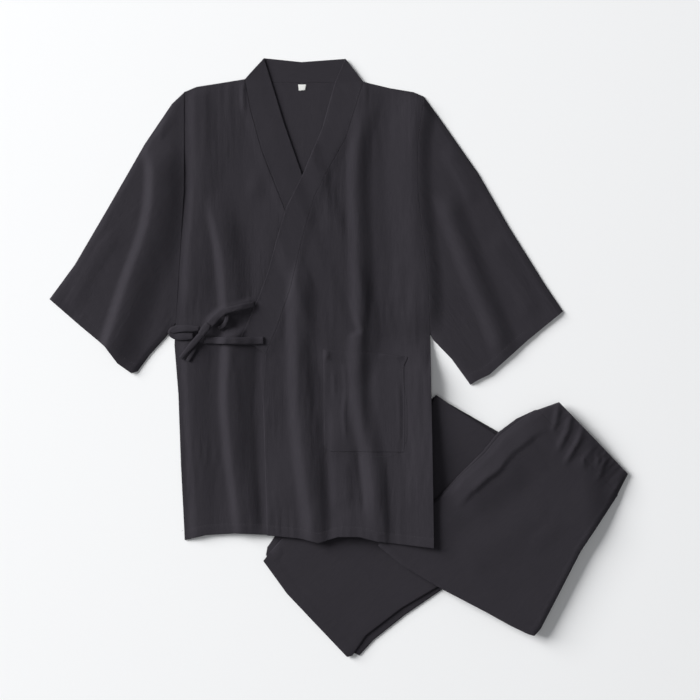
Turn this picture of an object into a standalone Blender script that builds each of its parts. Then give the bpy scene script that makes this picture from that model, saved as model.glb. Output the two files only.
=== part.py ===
# Kimono pajama set laid flat: a crossed jacket with a tied waist, over trousers folded in three.
# Lengths are in millimetres in this file, and each finished mesh is scaled to metres.
# Right and left are the wearer's, so the right front lies at low x. +Y is towards the neck, +Z is up.

from collections import namedtuple
from math import ceil, floor, hypot, pi, radians, sin

import bmesh
import bpy
from mathutils import Vector

MILLIMETRE = 0.001

# Thicknesses and gaps
CLOTH = 1.2
BAND = 2.6
STRAP = 2.4
LABEL = 1.0
CASING_WALL = 1.8
GAP = 0.3
PLY_PAIR = 3.0
FOLDED_PLIES = 4.4

# Cells of draping cloth. All stacked pieces share them, so the gaps between them stay even.
CELL_X = 12.0
CELL_Y = 30.0
REACH_CELLS = 1.45
RUN_CELLS = 1.4
LONG_RUN_CELLS = 4.5
WIDE_X = 45.0
SLEEVE_CELL_X = 14.0
SLEEVE_CELL_Y = 16.0

# Flattened tubes: the closed edge's width, and how far their room runs past an open end
TUBE_EDGE = 2.5
SLEEVE_OVERRUN = 40.0
HEM_OVERRUN = 40.0
CASING_OVERRUN = 4.0

Point = namedtuple("Point", "x y")
Fold = namedtuple("Fold", "x1 y1 x2 y2 x3 y3 half_width height")
Gather = namedtuple("Gather", "along length half_width height")
StrapRow = namedtuple("StrapRow", "x y width lift")
StrapLane = namedtuple("StrapLane", "across crown")
EdgeRing = namedtuple("EdgeRing", "share push")

# Jacket body's sides, from the shoulder points down to the hem
RIGHT_SIDE = [
    Point(-240, 412),
    Point(-240, 260),
    Point(-245, 180),
    Point(-253, 52),
    Point(-255, 20),
    Point(-249, -55),
    Point(-245, -165),
    Point(-239, -283),
]
LEFT_SIDE = [
    Point(132, 405),
    Point(122, 327),
    Point(123, 260),
    Point(130, 190),
    Point(138, 125),
    Point(142, 36),
    Point(143, -55),
    Point(145, -165),
    Point(147, -294),
]
RIGHT_ARMHOLE_ROWS = 4
LEFT_ARMHOLE_ROWS = 6

# Shoulder seams, from the collar out to the sleeve
RIGHT_SHOULDER = [Point(-146, 432), Point(-221, 420), Point(-240, 412)]
LEFT_SHOULDER = [Point(38, 428), Point(80, 418), Point(116, 412), Point(132, 405)]

# Hem, from the right side seam to the left one
RIGHT_HEM = [Point(-239, -283), Point(-206, -275), Point(-161, -272), Point(-112, -274)]
UNDER_HEM = [Point(-59, -276), Point(-4, -275)]
LEFT_HEM = [
    Point(-111, -275),
    Point(-59, -280),
    Point(-31, -287),
    Point(-1, -277),
    Point(32, -277),
    Point(60, -284),
    Point(147, -294),
]
BACK_HEM = [
    Point(-239, -283),
    Point(-206, -273),
    Point(-161, -270),
    Point(-59, -272),
    Point(32, -274),
    Point(60, -281),
    Point(147, -294),
]

# Collar band: inner edge and seam, from the neck down
RIGHT_COLLAR_INNER = [
    Point(-116, 465),
    Point(-103, 424),
    Point(-85, 365),
    Point(-58, 288),
    Point(-30, 214),
    Point(-2, 140),
    Point(33, 40),
]
RIGHT_COLLAR_SEAM = [
    Point(-146, 432),
    Point(-137, 384),
    Point(-120, 322),
    Point(-99, 268),
    Point(-72, 201),
    Point(-43, 120),
    Point(-5, 25),
]
LEFT_COLLAR_INNER = [
    Point(10, 464),
    Point(-6, 427),
    Point(-26, 356),
    Point(-56, 285),
    Point(-81, 234),
    Point(-97, 182),
    Point(-109, 136),
    Point(-124, 95),
    Point(-152, 31),
]
LEFT_COLLAR_SEAM = [
    Point(38, 428),
    Point(11, 341),
    Point(-17, 291),
    Point(-38, 250),
    Point(-56, 187),
    Point(-75, 108),
    Point(-95, 49),
    Point(-113, 6),
]
BACK_COLLAR_TOP = [Point(-116, 465), Point(-58, 459), Point(10, 464)]
NECK_SEAM = [Point(38, 428), Point(-6, 427), Point(-103, 427), Point(-146, 432)]

# Front edges below the collar
LEFT_FRONT_EDGE = [Point(-118, -60), Point(-111, -275)]
RIGHT_FRONT_EDGE = [Point(-5, -60), Point(-4, -275)]

# Sleeves: upper fold down to the cuff, cuff, and underarm seam back up to the body
RIGHT_SLEEVE_FOLD = [Point(-259, 394), Point(-301, 332), Point(-359, 231), Point(-410, 144), Point(-449, 91)]
RIGHT_CUFF = [Point(-403, 51), Point(-362, 17), Point(-343, -9), Point(-322, -24), Point(-312, -21)]
RIGHT_UNDERARM = [Point(-292, 6), Point(-269, 31)]
LEFT_SLEEVE_FOLD = [Point(157, 371), Point(217, 285), Point(264, 203), Point(321, 112), Point(348, 72)]
LEFT_CUFF = [Point(294, 28), Point(234, -26), Point(217, -34), Point(204, -42)]
LEFT_UNDERARM = [Point(175, -2), Point(147, 27)]

# Patch pocket on the left front, and the bare label below the neck seam
POCKET = [
    Point(-24, 13),
    Point(72, 6),
    Point(107, 1),
    Point(101, -13),
    Point(101, -146),
    Point(-13, -145),
    Point(-23, -135),
]
LABEL_CORNERS = [Point(-63, 424), Point(-50.5, 424), Point(-52, 415), Point(-62, 414)]

# Trousers folded in three: the hems point down and left, and the waist lies at the upper right
LEG_UNDER = [
    Point(-89, -262),
    Point(-111, -294),
    Point(-113, -306),
    Point(-60, -385),
    Point(18, -455),
    Point(32, -462),
    Point(54, -438),
    Point(103, -399),
    Point(160, -360),
    Point(281, -259),
    Point(370, -190),
    Point(258, -121),
    Point(150, -59),
    Point(18, -165),
]
LEG_UNDER_RISE = [Point(90, -107), Point(18, -165), Point(-89, -262)]
LEG_UNDER_OUTSEAM = [Point(32, -462), Point(54, -438), Point(103, -399), Point(160, -360), Point(215, -314)]
LEG_UPPER = [
    Point(-72, -262),
    Point(-106, -300),
    Point(-117, -315),
    Point(-80, -366),
    Point(-25, -424),
    Point(13, -464),
    Point(21, -462),
    Point(42, -431),
    Point(98, -388),
    Point(156, -354),
    Point(281, -253),
    Point(364, -190),
    Point(258, -124),
    Point(155, -64),
    Point(22, -170),
]
LEG_UPPER_RISE = [Point(90, -116), Point(22, -170), Point(-72, -262), Point(-106, -300)]
LEG_UPPER_OUTSEAM = [Point(21, -462), Point(42, -431), Point(98, -388), Point(156, -354), Point(215, -307)]
FOLDED_LAYERS = [
    Point(60, -288),
    Point(98, -319),
    Point(162, -357),
    Point(227, -391),
    Point(297, -427),
    Point(318, -400),
    Point(345, -340),
    Point(366, -280),
    Point(360, -195),
    Point(310, -140),
    Point(244, -119),
    Point(193, -86),
    Point(150, -57),
    Point(100, -174),
]
SEAT_FOLD = [Point(60, -290), Point(98, -321), Point(162, -359), Point(227, -393)]
SEAT_OUTSEAM = [
    Point(265, -414),
    Point(292, -427),
    Point(302, -430),
    Point(312, -419),
    Point(337, -371),
    Point(374, -299),
    Point(428, -219),
]
SEAT_RISE = [
    Point(278, -97),
    Point(249, -119),
    Point(225, -148),
    Point(187, -183),
    Point(154, -219),
    Point(111, -250),
]
UNDER_RISE_OUT = 1.5

# Waistband: a casing gathered on elastic
CASING_SEAM = [Point(432.8, -210.1), Point(307.5, -80.2)]
WAIST_START = Point(340.6, -68.4)
WAIST_END = Point(448.6, -180.4)
CASING_DEPTH = 32.0
CASING_FLARE_UPPER = 14.5
CASING_FLARE_LOWER = 10.4
CASING_CELLS = 44
CASING_ROWS = 3
CASING_WAVES = 10
CASING_WAVE = 2.6
CASING_SWELL = 1.2
CASING_ROOM = 2.7
CASING_UNEVEN = 1.1
CASING_DRIFT = 7.0
GATHERS = [
    Gather(0.12, 40, 9, 3.0),
    Gather(0.32, 58, 9, 3.4),
    Gather(0.50, 62, 10, 3.2),
    Gather(0.72, 48, 13, 3.4),
    Gather(0.92, 38, 10, 2.6),
]

# Ties, as stations from the sewn end to the bow, with the lift of each over the cloth
TIES = {
    "tie_inner_strap": [
        StrapRow(-134, 81, 11, 0.0),
        StrapRow(-146, 79, 10, 1.6),
        StrapRow(-160, 76, 9.5, 3.0),
        StrapRow(-174, 72.5, 10, 3.6),
        StrapRow(-184, 67, 11.5, 4.0),
        StrapRow(-195, 56, 12, 4.2),
        StrapRow(-204, 46, 11.5, 4.4),
    ],
    "tie_outer_strap": [
        StrapRow(-116, 27, 12.5, 0.0),
        StrapRow(-132, 26.3, 12, 0.0),
        StrapRow(-152, 26, 11.5, 0.0),
        StrapRow(-172, 26.5, 11, 0.0),
        StrapRow(-209, 27, 11, 0.0),
    ],
    "tie_short_end": [
        StrapRow(-173.5, 76, 6.5, 0.0),
        StrapRow(-173, 60, 7, 0.0),
        StrapRow(-177.5, 51, 7, 0.0),
        StrapRow(-186, 45, 6.5, 0.0),
    ],
    "tie_knot": [
        StrapRow(-201, 53, 9, 7.2),
        StrapRow(-206.5, 45, 12, 7.2),
        StrapRow(-213, 36, 11, 7.2),
    ],
    "tie_loop": [
        StrapRow(-215.5, 45, 7, 4.4),
        StrapRow(-228, 45.5, 9, 4.4),
        StrapRow(-244, 45.5, 9, 3.4),
        StrapRow(-255, 44.5, 8, 2.4),
        StrapRow(-260.5, 39.5, 7, 1.4),
        StrapRow(-255, 34, 8, 0.8),
        StrapRow(-244, 33, 11.5, 0.3),
        StrapRow(-232, 33.5, 10.5, 0.3),
    ],
    "tie_tail_upper": [
        StrapRow(-211.5, 37.5, 9, 4.4),
        StrapRow(-224, 23, 10, 4.2),
        StrapRow(-233, 13, 8, 3.2),
        StrapRow(-245, -1, 6.5, 0.8),
    ],
    "tie_tail_lower": [
        StrapRow(-220, 27, 8, 0.0),
        StrapRow(-224, 14, 8, 0.0),
        StrapRow(-229, 4, 7, 0.0),
        StrapRow(-234, -5, 6, 0.0),
    ],
}
STRAP_STEP = 4.0
STRAP_SECTION = [
    StrapLane(-0.5, 0.55),
    StrapLane(-0.32, 0.9),
    StrapLane(0.0, 1.0),
    StrapLane(0.32, 0.9),
    StrapLane(0.5, 0.55),
]

# Largest folds: three points of each crest, then its size
BODY_FOLDS = [
    Fold(-212, 271, -183, 161, -175, 85, 17, 4.0),
    Fold(-175, 0, -176, -112, -158, -300, 18, 4.6),
    Fold(-232, 384, -234, 244, -241, 100, 15, 1.6),
    Fold(-57, 161, -70, -42, -43, -310, 17, 3.2),
    Fold(40, 421, 21, 252, 29, 105, 17, 3.0),
    Fold(29, 140, 22, -97, 51, -320, 18, 4.2),
    Fold(112, 398, 78, 299, 57, 189, 26, 3.2),
    Fold(96, 190, 92, 120, 93, 40, 24, 2.2),
    Fold(108, -80, 110, -190, 117, -330, 26, 3.4),
]
RIGHT_SLEEVE_FOLDS = [
    Fold(-292, 345, -292, 190, -370, -20, 26, 4.6),
    Fold(-330, 262, -368, 190, -440, 50, 20, 1.8),
]
LEFT_SLEEVE_FOLDS = [
    Fold(160, 330, 207, 130, 280, -30, 24, 3.4),
    Fold(200, 290, 250, 190, 320, 60, 22, 1.6),
]
SEAT_FOLDS = [Fold(164, -232, 236, -163, 325, -88, 16, 3.4)]
FOLD_SAMPLES = 16
FOLD_FADE = 0.14

# Rings pushed out of a stack's side, with a groove between each two layers
LAYER_ROUND = 1.4
PAIR_EDGE = [EdgeRing(0.22, 1.0), EdgeRing(0.5, 0.2), EdgeRing(0.78, 1.0)]
STACK_EDGE = [
    EdgeRing(0.12, 0.9),
    EdgeRing(0.25, 0.1),
    EdgeRing(0.38, 1.2),
    EdgeRing(0.5, 0.1),
    EdgeRing(0.62, 1.2),
    EdgeRing(0.75, 0.1),
    EdgeRing(0.88, 0.9),
]

SNAP = 0.002
CORNER_SHARE = 1e-6
FLAT_ANGLE = radians(0.02)
MITRE = 0.35
COTTON = (0.034, 0.032, 0.037, 1.0)
ROUGHNESS = 0.9
LABEL_WHITE = (0.78, 0.78, 0.76, 1.0)


# Plane geometry

def smooth_fall(share):
    """1 at zero and below, 0 at one and above, with no kink."""
    if share <= 0.0:
        return 1.0
    if share >= 1.0:
        return 0.0
    return 1.0 - share * share * (3.0 - 2.0 * share)


def inside(x, y, outline):
    """Whether a point lies within a closed outline."""
    result = False
    for start, end in zip(outline, outline[1:] + outline[:1]):
        if (start.y > y) != (end.y > y):
            if x < start.x + (y - start.y) * (end.x - start.x) / (end.y - start.y):
                result = not result
    return result


def to_segment(x, y, start_x, start_y, end_x, end_y):
    """Distance from a point to a straight stretch, and the share along it."""
    run_x = end_x - start_x
    run_y = end_y - start_y
    share = ((x - start_x) * run_x + (y - start_y) * run_y) / max(run_x * run_x + run_y * run_y, 1e-9)
    share = min(1.0, max(0.0, share))
    return hypot(x - start_x - share * run_x, y - start_y - share * run_y), share


def cells_outside(x, y, outline, cell_x):
    """Distance outside an outline, counted in draping cells."""
    if inside(x, y, outline):
        return 0.0
    nearest = 1e9
    for start, end in zip(outline, outline[1:] + outline[:1]):
        away, share = to_segment(
            x / cell_x, y / CELL_Y, start.x / cell_x, start.y / CELL_Y, end.x / cell_x, end.y / CELL_Y
        )
        nearest = min(nearest, away)
    return nearest


def drawn_in(outline, distance):
    """The outline moved inwards by a distance, with its corners kept."""
    area = sum(a.x * b.y - b.x * a.y for a, b in zip(outline, outline[1:] + outline[:1]))
    turn = 1.0 if area > 0.0 else -1.0
    moved = []
    for before, here, after in zip(outline[-1:] + outline[:-1], outline, outline[1:] + outline[:1]):
        first = Vector((here.x - before.x, here.y - before.y)).normalized()
        second = Vector((after.x - here.x, after.y - here.y)).normalized()
        normal = Vector((-first.y - second.y, first.x + second.x)) * turn
        normal.normalize()
        cosine = max(MITRE, normal.dot(Vector((-first.y, first.x)) * turn))
        moved.append(Point(here.x + normal.x * distance / cosine, here.y + normal.y * distance / cosine))
    return moved


def crest(fold):
    """Points down the middle of a fold, with the share of its length at each."""
    points = []
    for step in range(FOLD_SAMPLES + 1):
        t = step / FOLD_SAMPLES
        first = (1.0 - t) * (1.0 - 2.0 * t)
        middle = 4.0 * t * (1.0 - t)
        last = t * (2.0 * t - 1.0)
        x = first * fold.x1 + middle * fold.x2 + last * fold.x3
        y = first * fold.y1 + middle * fold.y2 + last * fold.y3
        points.append((x, y, t))
    return points


def relief(x, y, folds, crests):
    """Height that the folds add to the cloth at a point."""
    height = 0.0
    for fold, points in zip(folds, crests):
        nearest = 1e9
        place = 0.0
        for start, end in zip(points, points[1:]):
            away, share = to_segment(x, y, start[0], start[1], end[0], end[1])
            if away < nearest:
                nearest = away
                place = start[2] + share * (end[2] - start[2])
        if nearest < fold.half_width:
            across = 1.0 - (nearest / fold.half_width) ** 2
            fade = smooth_fall(1.0 - place / FOLD_FADE) * smooth_fall(1.0 - (1.0 - place) / FOLD_FADE)
            height = max(height, fold.height * across * across * fade)
    return height


# Heights of the layers

class Surface:
    """A height over the plane, worked out at the cells' corners and straight across each half cell."""

    def __init__(self, height, cell_x=CELL_X, cell_y=CELL_Y):
        self.height = height
        self.cell_x = cell_x
        self.cell_y = cell_y
        self.known = {}

    def corner(self, column, row):
        key = (column, row)
        if key not in self.known:
            self.known[key] = self.height(column * self.cell_x, row * self.cell_y)
        return self.known[key]

    def at(self, x, y):
        column = floor(x / self.cell_x + CORNER_SHARE)
        row = floor(y / self.cell_y + CORNER_SHARE)
        u = x / self.cell_x - column
        v = y / self.cell_y - row
        low = self.corner(column, row)
        high = self.corner(column + 1, row + 1)
        if v <= u:
            side = self.corner(column + 1, row)
            return low + (side - low) * u + (high - side) * v
        side = self.corner(column, row + 1)
        return low + (high - side) * u + (side - low) * v

    def above(self, rise):
        """A surface with a distance, or another height, added to this one."""
        if callable(rise):
            return Surface(lambda x, y: self.height(x, y) + rise(x, y), self.cell_x, self.cell_y)
        return Surface(lambda x, y: self.height(x, y) + rise, self.cell_x, self.cell_y)


class Lifted:
    """A surface with a relief of its own that is finer than the cells."""

    def __init__(self, base, rise):
        self.base = base
        self.rise = rise

    def at(self, x, y):
        return self.base.at(x, y) + self.rise(x, y)


def over(outline, rise, cell_x=CELL_X, run=RUN_CELLS):
    """The height that cloth gains where it drapes over a stack with this outline."""
    return lambda x, y: rise * smooth_fall((cells_outside(x, y, outline, cell_x) - REACH_CELLS) / run)


def bridged(outline, rise):
    """The same for the jacket, which spans the ground beside a stack before it comes down."""
    return over(outline, rise, WIDE_X)


def folded(folds):
    """The height that a set of folds adds."""
    crests = [crest(fold) for fold in folds]
    return lambda x, y: relief(x, y, folds, crests)


# Solids

def cut_sheet(outline, surface, refine=1):
    """A sheet of draping cells cut to an outline, lying on a surface."""
    step_x = surface.cell_x / refine
    step_y = surface.cell_y / refine
    left = floor(min(p.x for p in outline) / surface.cell_x) * refine - 1
    right = ceil(max(p.x for p in outline) / surface.cell_x) * refine + 1
    low = floor(min(p.y for p in outline) / surface.cell_y) * refine - 1
    high = ceil(max(p.y for p in outline) / surface.cell_y) * refine + 1
    columns = right - left
    rows = high - low
    bm = bmesh.new()
    bmesh.ops.create_grid(bm, x_segments=columns, y_segments=rows, size=1.0)
    for vertex in bm.verts:
        column = round((vertex.co.x + 1.0) / 2.0 * columns)
        row = round((vertex.co.y + 1.0) / 2.0 * rows)
        vertex.co = ((left + column) * step_x, (low + row) * step_y, 0.0)
    for face in list(bm.faces):
        corners = sorted(face.verts, key=lambda v: v.co.x + v.co.y)
        bmesh.ops.connect_verts(bm, verts=[corners[0], corners[-1]])
    reach = hypot(step_x, step_y)
    for start, end in zip(outline, outline[1:] + outline[:1]):
        cut_along(bm, start, end, reach)
    outside = [face for face in bm.faces if not inside(*face.calc_center_median().xy, outline)]
    bmesh.ops.delete(bm, geom=outside, context="FACES")
    for vertex in bm.verts:
        vertex.co.z = surface.at(vertex.co.x, vertex.co.y)
    return bm


def cut_along(bm, start, end, reach):
    """Cuts the cells that one side of the outline crosses."""
    side = Vector((end.x - start.x, end.y - start.y, 0.0))
    if side.length < SNAP:
        return
    near = []
    for face in bm.faces:
        centre = face.calc_center_median()
        away, share = to_segment(centre.x, centre.y, start.x, start.y, end.x, end.y)
        if away <= reach:
            near.append(face)
    edges = list(dict.fromkeys(edge for face in near for edge in face.edges))
    verts = list(dict.fromkeys(vertex for face in near for vertex in face.verts))
    normal = Vector((-side.y, side.x, 0.0)).normalized()
    bmesh.ops.bisect_plane(
        bm, geom=near + edges + verts, dist=SNAP, plane_co=(start.x, start.y, 0.0), plane_no=normal
    )


def thicken(bm, new_height):
    """Closes a sheet into a solid, with a height given for each point of its upper side."""
    sheet = list(bm.faces)
    bmesh.ops.recalc_face_normals(bm, faces=sheet)
    if sum(face.normal.z for face in sheet) > 0.0:
        bmesh.ops.reverse_faces(bm, faces=sheet)
    made = bmesh.ops.extrude_face_region(bm, geom=sheet, use_keep_orig=True)
    for item in made["geom"]:
        if isinstance(item, bmesh.types.BMVert):
            item.co.z = new_height(item)
    bmesh.ops.recalc_face_normals(bm, faces=bm.faces)


def block(outline, bottom, top, refine=1):
    """A closed solid between two surfaces, cut to an outline."""
    bm = cut_sheet(outline, bottom, refine)
    thicken(bm, lambda vertex: top.at(vertex.co.x, vertex.co.y))
    return bm


def wall(outline, bottom, thickness):
    """A wall of cloth on a surface, drawn in by half a seam's gap."""
    return block(drawn_in(outline, GAP / 2.0), bottom, bottom.above(thickness))


def layer_edges(bm, rings):
    """Pushes rings of the side wall outwards, as the rounded edges of the layers in it."""
    bm.normal_update()
    upright = []
    for edge in bm.edges:
        first, second = edge.verts
        if hypot(first.co.x - second.co.x, first.co.y - second.co.y) < SNAP:
            upright.append(edge)
    side_faces = dict.fromkeys(face for edge in upright for face in edge.link_faces)
    pushes = []
    for edge in upright:
        outward = Vector((0.0, 0.0, 0.0))
        for face in edge.link_faces:
            outward += face.normal
        outward.z = 0.0
        pushes.append(outward.normalized())
    level = bm.verts.layers.int.new("level")
    for edge, outward in zip(upright, pushes):
        low, high = sorted(edge.verts, key=lambda v: v.co.z)
        bottom = low.co.copy()
        height = high.co.z - bottom.z
        rising = edge
        below = low
        for index, ring in enumerate(rings):
            rising, here = bmesh.utils.edge_split(rising, below, 0.5)
            rising = next(e for e in here.link_edges if high in e.verts)
            here.co = bottom + Vector((0.0, 0.0, height * ring.share)) + outward * ring.push
            here[level] = index + 1
            below = here
    for face in list(side_faces):
        pairs = {}
        for vertex in face.verts:
            if vertex[level]:
                pairs.setdefault(vertex[level], []).append(vertex)
        for pair in pairs.values():
            bmesh.ops.connect_vert_pair(bm, verts=pair)
    bmesh.ops.recalc_face_normals(bm, faces=bm.faces)


def tidy_flats(bm):
    """Joins the cells of one plane into larger faces."""
    bmesh.ops.dissolve_limit(
        bm,
        angle_limit=FLAT_ANGLE,
        use_dissolve_boundaries=False,
        verts=bm.verts,
        edges=bm.edges,
        delimit={"NORMAL"},
    )


def stack(outline, bottom, top, rings, refine=1):
    """A rounded solid that stands for several layers, with grooves between them at its edges."""
    bm = block(drawn_in(outline, LAYER_ROUND), bottom, top, refine)
    layer_edges(bm, rings)
    return bm


def strap(rows, ground):
    """A flat strap with a soft crown along a row of stations, lying just above the ground."""
    stations = spaced_stations(rows)
    lanes = len(STRAP_SECTION)
    bm = bmesh.new()
    bmesh.ops.create_grid(bm, x_segments=len(stations) - 1, y_segments=lanes - 1, size=1.0)
    thickness = bm.verts.layers.float.new("thickness")
    for vertex in bm.verts:
        index = round((vertex.co.x + 1.0) / 2.0 * (len(stations) - 1))
        lane = STRAP_SECTION[round((vertex.co.y + 1.0) / 2.0 * (lanes - 1))]
        x, y = beside(stations, index, lane.across)
        vertex.co = (x, y, clear_height(stations, index, ground) + stations[index].lift)
        vertex[thickness] = STRAP * lane.crown
    bmesh.ops.triangulate(bm, faces=bm.faces)
    thicken(bm, lambda vertex: vertex.co.z + vertex[thickness])
    return bm


def spaced_stations(rows):
    """Stations every few millimetres along the smooth line through a strap's rows."""
    stations = []
    last = len(rows) - 1
    for index in range(last):
        before = rows[max(index - 1, 0)]
        start = rows[index]
        end = rows[index + 1]
        after = rows[min(index + 2, last)]
        steps = max(1, round(hypot(end.x - start.x, end.y - start.y) / STRAP_STEP))
        for step in range(steps):
            t = step / steps
            values = [through(*four, t) for four in zip(before, start, end, after)]
            stations.append(StrapRow(*values))
    stations.append(rows[-1])
    return stations


def through(before, start, end, after, t):
    """A value on the smooth curve from start to end."""
    bend = (2.0 * before - 5.0 * start + 4.0 * end - after) * t * t
    twist = (3.0 * start - before - 3.0 * end + after) * t * t * t
    return 0.5 * (2.0 * start + (end - before) * t + bend + twist)


def beside(stations, index, share):
    """A point across a strap, at a share of its width from the middle."""
    here = stations[index]
    before = stations[max(index - 1, 0)]
    after = stations[min(index + 1, len(stations) - 1)]
    along = Vector((after.x - before.x, after.y - before.y)).normalized()
    return here.x - along.y * share * here.width, here.y + along.x * share * here.width


def clear_height(stations, index, ground):
    """The highest ground under a strap between its neighbouring stations."""
    heights = []
    for near in range(max(index - 1, 0), min(index + 2, len(stations))):
        for lane in STRAP_SECTION:
            heights.append(ground.at(*beside(stations, near, lane.across)))
    return max(heights)


def casing_block(edge, overrun, depth_in):
    """The waistband's outer form, or the room in it when its walls' depth is given.

    It widens from the elastic to the seam, where the cloth is less gathered.
    """
    width = hypot(WAIST_END.x - WAIST_START.x, WAIST_END.y - WAIST_START.y)
    along = Vector((WAIST_END.x - WAIST_START.x, WAIST_END.y - WAIST_START.y)) / width
    inward = Vector((along.y, -along.x))
    bm = bmesh.new()
    bmesh.ops.create_grid(bm, x_segments=CASING_CELLS, y_segments=CASING_ROWS, size=1.0)
    top = bm.verts.layers.float.new("top")
    for vertex in bm.verts:
        share = (vertex.co.x + 1.0) / 2.0
        depth = GAP / 2.0 - overrun + (vertex.co.y + 1.0) / 2.0 * (CASING_DEPTH - GAP + 2.0 * overrun)
        first = edge - CASING_FLARE_UPPER * depth / CASING_DEPTH
        last = width - edge + CASING_FLARE_LOWER * depth / CASING_DEPTH
        reach = first + share * (last - first)
        x = WAIST_START.x + along.x * reach + inward.x * depth
        y = WAIST_START.y + along.y * reach + inward.y * depth
        ground = ON_FOLDED_LAYERS.at(x, y)
        vertex[top] = ground + casing_top(share, depth / CASING_DEPTH) - depth_in
        vertex.co = (x, y, ground + depth_in)
    bmesh.ops.triangulate(bm, faces=bm.faces)
    thicken(bm, lambda vertex: vertex[top])
    return bm


def casing_top(share, depth):
    """The height of the waistband's upper side, waved by the gathers."""
    wave = 0.5 - 0.5 * sin(2.0 * pi * CASING_WAVES * share + CASING_UNEVEN * sin(CASING_DRIFT * share))
    swell = sin(pi * min(1.0, max(0.0, depth)))
    return 2.0 * CASING_WALL + CASING_ROOM + CASING_WAVE * wave + CASING_SWELL * swell


def gathered(x, y):
    """The height of the soft ridges that run from the waistband's seam down the seat."""
    end, start = CASING_SEAM
    width = hypot(end.x - start.x, end.y - start.y)
    along = Vector((end.x - start.x, end.y - start.y)) / width
    inward = Vector((along.y, -along.x))
    offset = Vector((x - start.x, y - start.y))
    reach = offset.dot(along)
    depth = max(0.0, offset.dot(inward))
    height = 0.0
    for gather in GATHERS:
        away = abs(reach - gather.along * width) / gather.half_width
        if away < 1.0 and depth < gather.length:
            across = 1.0 - away * away
            height = max(height, gather.height * across * across * smooth_fall(depth / gather.length))
    return height


# Objects

def material(name, colour, roughness):
    made = bpy.data.materials.new(name)
    made.use_nodes = True
    shader = made.node_tree.nodes["Principled BSDF"]
    shader.inputs["Base Color"].default_value = colour
    shader.inputs["Roughness"].default_value = roughness
    shader.inputs["Metallic"].default_value = 0.0
    return made


def add_object(name, bm, colour=COTTON):
    """A named object from a finished mesh in millimetres."""
    tidy_flats(bm)
    mesh = bpy.data.meshes.new(name)
    bm.to_mesh(mesh)
    bm.free()
    thing = bpy.data.objects.new(name, mesh)
    bpy.context.scene.collection.objects.link(thing)
    mesh.materials.append(material(name + "_cloth", colour, ROUGHNESS))
    return thing


def hollow_out(thing, bm):
    """Cuts the room inside a flattened tube out of its solid."""
    cutter = add_object(thing.name + "_room", bm)
    cutter.hide_render = True
    cutter.display_type = "WIRE"
    cut = thing.modifiers.new("room", "BOOLEAN")
    cut.operation = "DIFFERENCE"
    cut.solver = "EXACT"
    cut.object = cutter


def flat_tube(name, outline, room, bottom, top):
    """A flattened tube of two walls, open where its room runs past the outline."""
    thing = add_object(name, block(drawn_in(outline, GAP / 2.0), bottom, top))
    hollow_out(thing, block(room, bottom.above(CLOTH), top.above(-CLOTH)))


def clear_scene():
    for thing in list(bpy.data.objects):
        bpy.data.objects.remove(thing, do_unlink=True)


def centre_on_floor():
    """Moves every mesh so that the set's box stands centred on the origin, and scales it to metres."""
    things = [thing for thing in bpy.data.objects if thing.type == "MESH"]
    corners = [v.co for thing in things if not thing.hide_render for v in thing.data.vertices]
    middle_x = (min(c.x for c in corners) + max(c.x for c in corners)) / 2.0
    middle_y = (min(c.y for c in corners) + max(c.y for c in corners)) / 2.0
    for thing in things:
        for vertex in thing.data.vertices:
            vertex.co.x = (vertex.co.x - middle_x) * MILLIMETRE
            vertex.co.y = (vertex.co.y - middle_y) * MILLIMETRE
            vertex.co.z = vertex.co.z * MILLIMETRE
        thing.data.update()


# Outlines put together from the tables

def back_outline():
    return (
        BACK_HEM
        + list(reversed(LEFT_SIDE))[1:]
        + list(reversed(LEFT_SHOULDER))[1:]
        + NECK_SEAM[1:]
        + RIGHT_SHOULDER[1:]
        + RIGHT_SIDE[1:-1]
    )


def right_front_outline():
    return (
        RIGHT_HEM
        + UNDER_HEM
        + list(reversed(RIGHT_FRONT_EDGE))[1:]
        + list(reversed(RIGHT_COLLAR_SEAM))
        + RIGHT_SHOULDER[1:]
        + RIGHT_SIDE[1:-1]
    )


def left_front_outline():
    return (
        LEFT_HEM
        + list(reversed(LEFT_SIDE))[1:]
        + list(reversed(LEFT_SHOULDER))[1:]
        + LEFT_COLLAR_SEAM[1:]
        + LEFT_FRONT_EDGE[:-1]
    )


def seat_outline(rise):
    return SEAT_FOLD + SEAT_OUTSEAM + CASING_SEAM + rise


def run_on(chain, start_length, end_length):
    """A chain of points with its two ends lengthened straight on."""
    start = beyond(chain[1], chain[0], start_length)
    end = beyond(chain[-2], chain[-1], end_length)
    return [start] + chain[1:-1] + [end]


def beyond(before, last, length):
    """The point a length past the last one, straight on."""
    reach = hypot(last.x - before.x, last.y - before.y)
    x = last.x + (last.x - before.x) / reach * length
    y = last.y + (last.y - before.y) / reach * length
    return Point(x, y)


def tube_room(first_edge, second_edge, start_overrun, end_overrun):
    """The room between a tube's two closed edges, run on past the ends that are open."""
    first = run_on(first_edge, start_overrun, end_overrun)
    second = run_on(second_edge, end_overrun, start_overrun)
    return drawn_in(first + second, TUBE_EDGE)


# Surfaces, from the floor up

SEAT = seat_outline(SEAT_RISE)
UNDER_SEAT = seat_outline([Point(p.x - UNDER_RISE_OUT, p.y + UNDER_RISE_OUT) for p in SEAT_RISE])
UNDERLAP = right_front_outline()
UNDER_BAND = RIGHT_COLLAR_INNER + list(reversed(RIGHT_COLLAR_SEAM))
OVER_BAND = LEFT_COLLAR_INNER + list(reversed(LEFT_COLLAR_SEAM))

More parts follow.
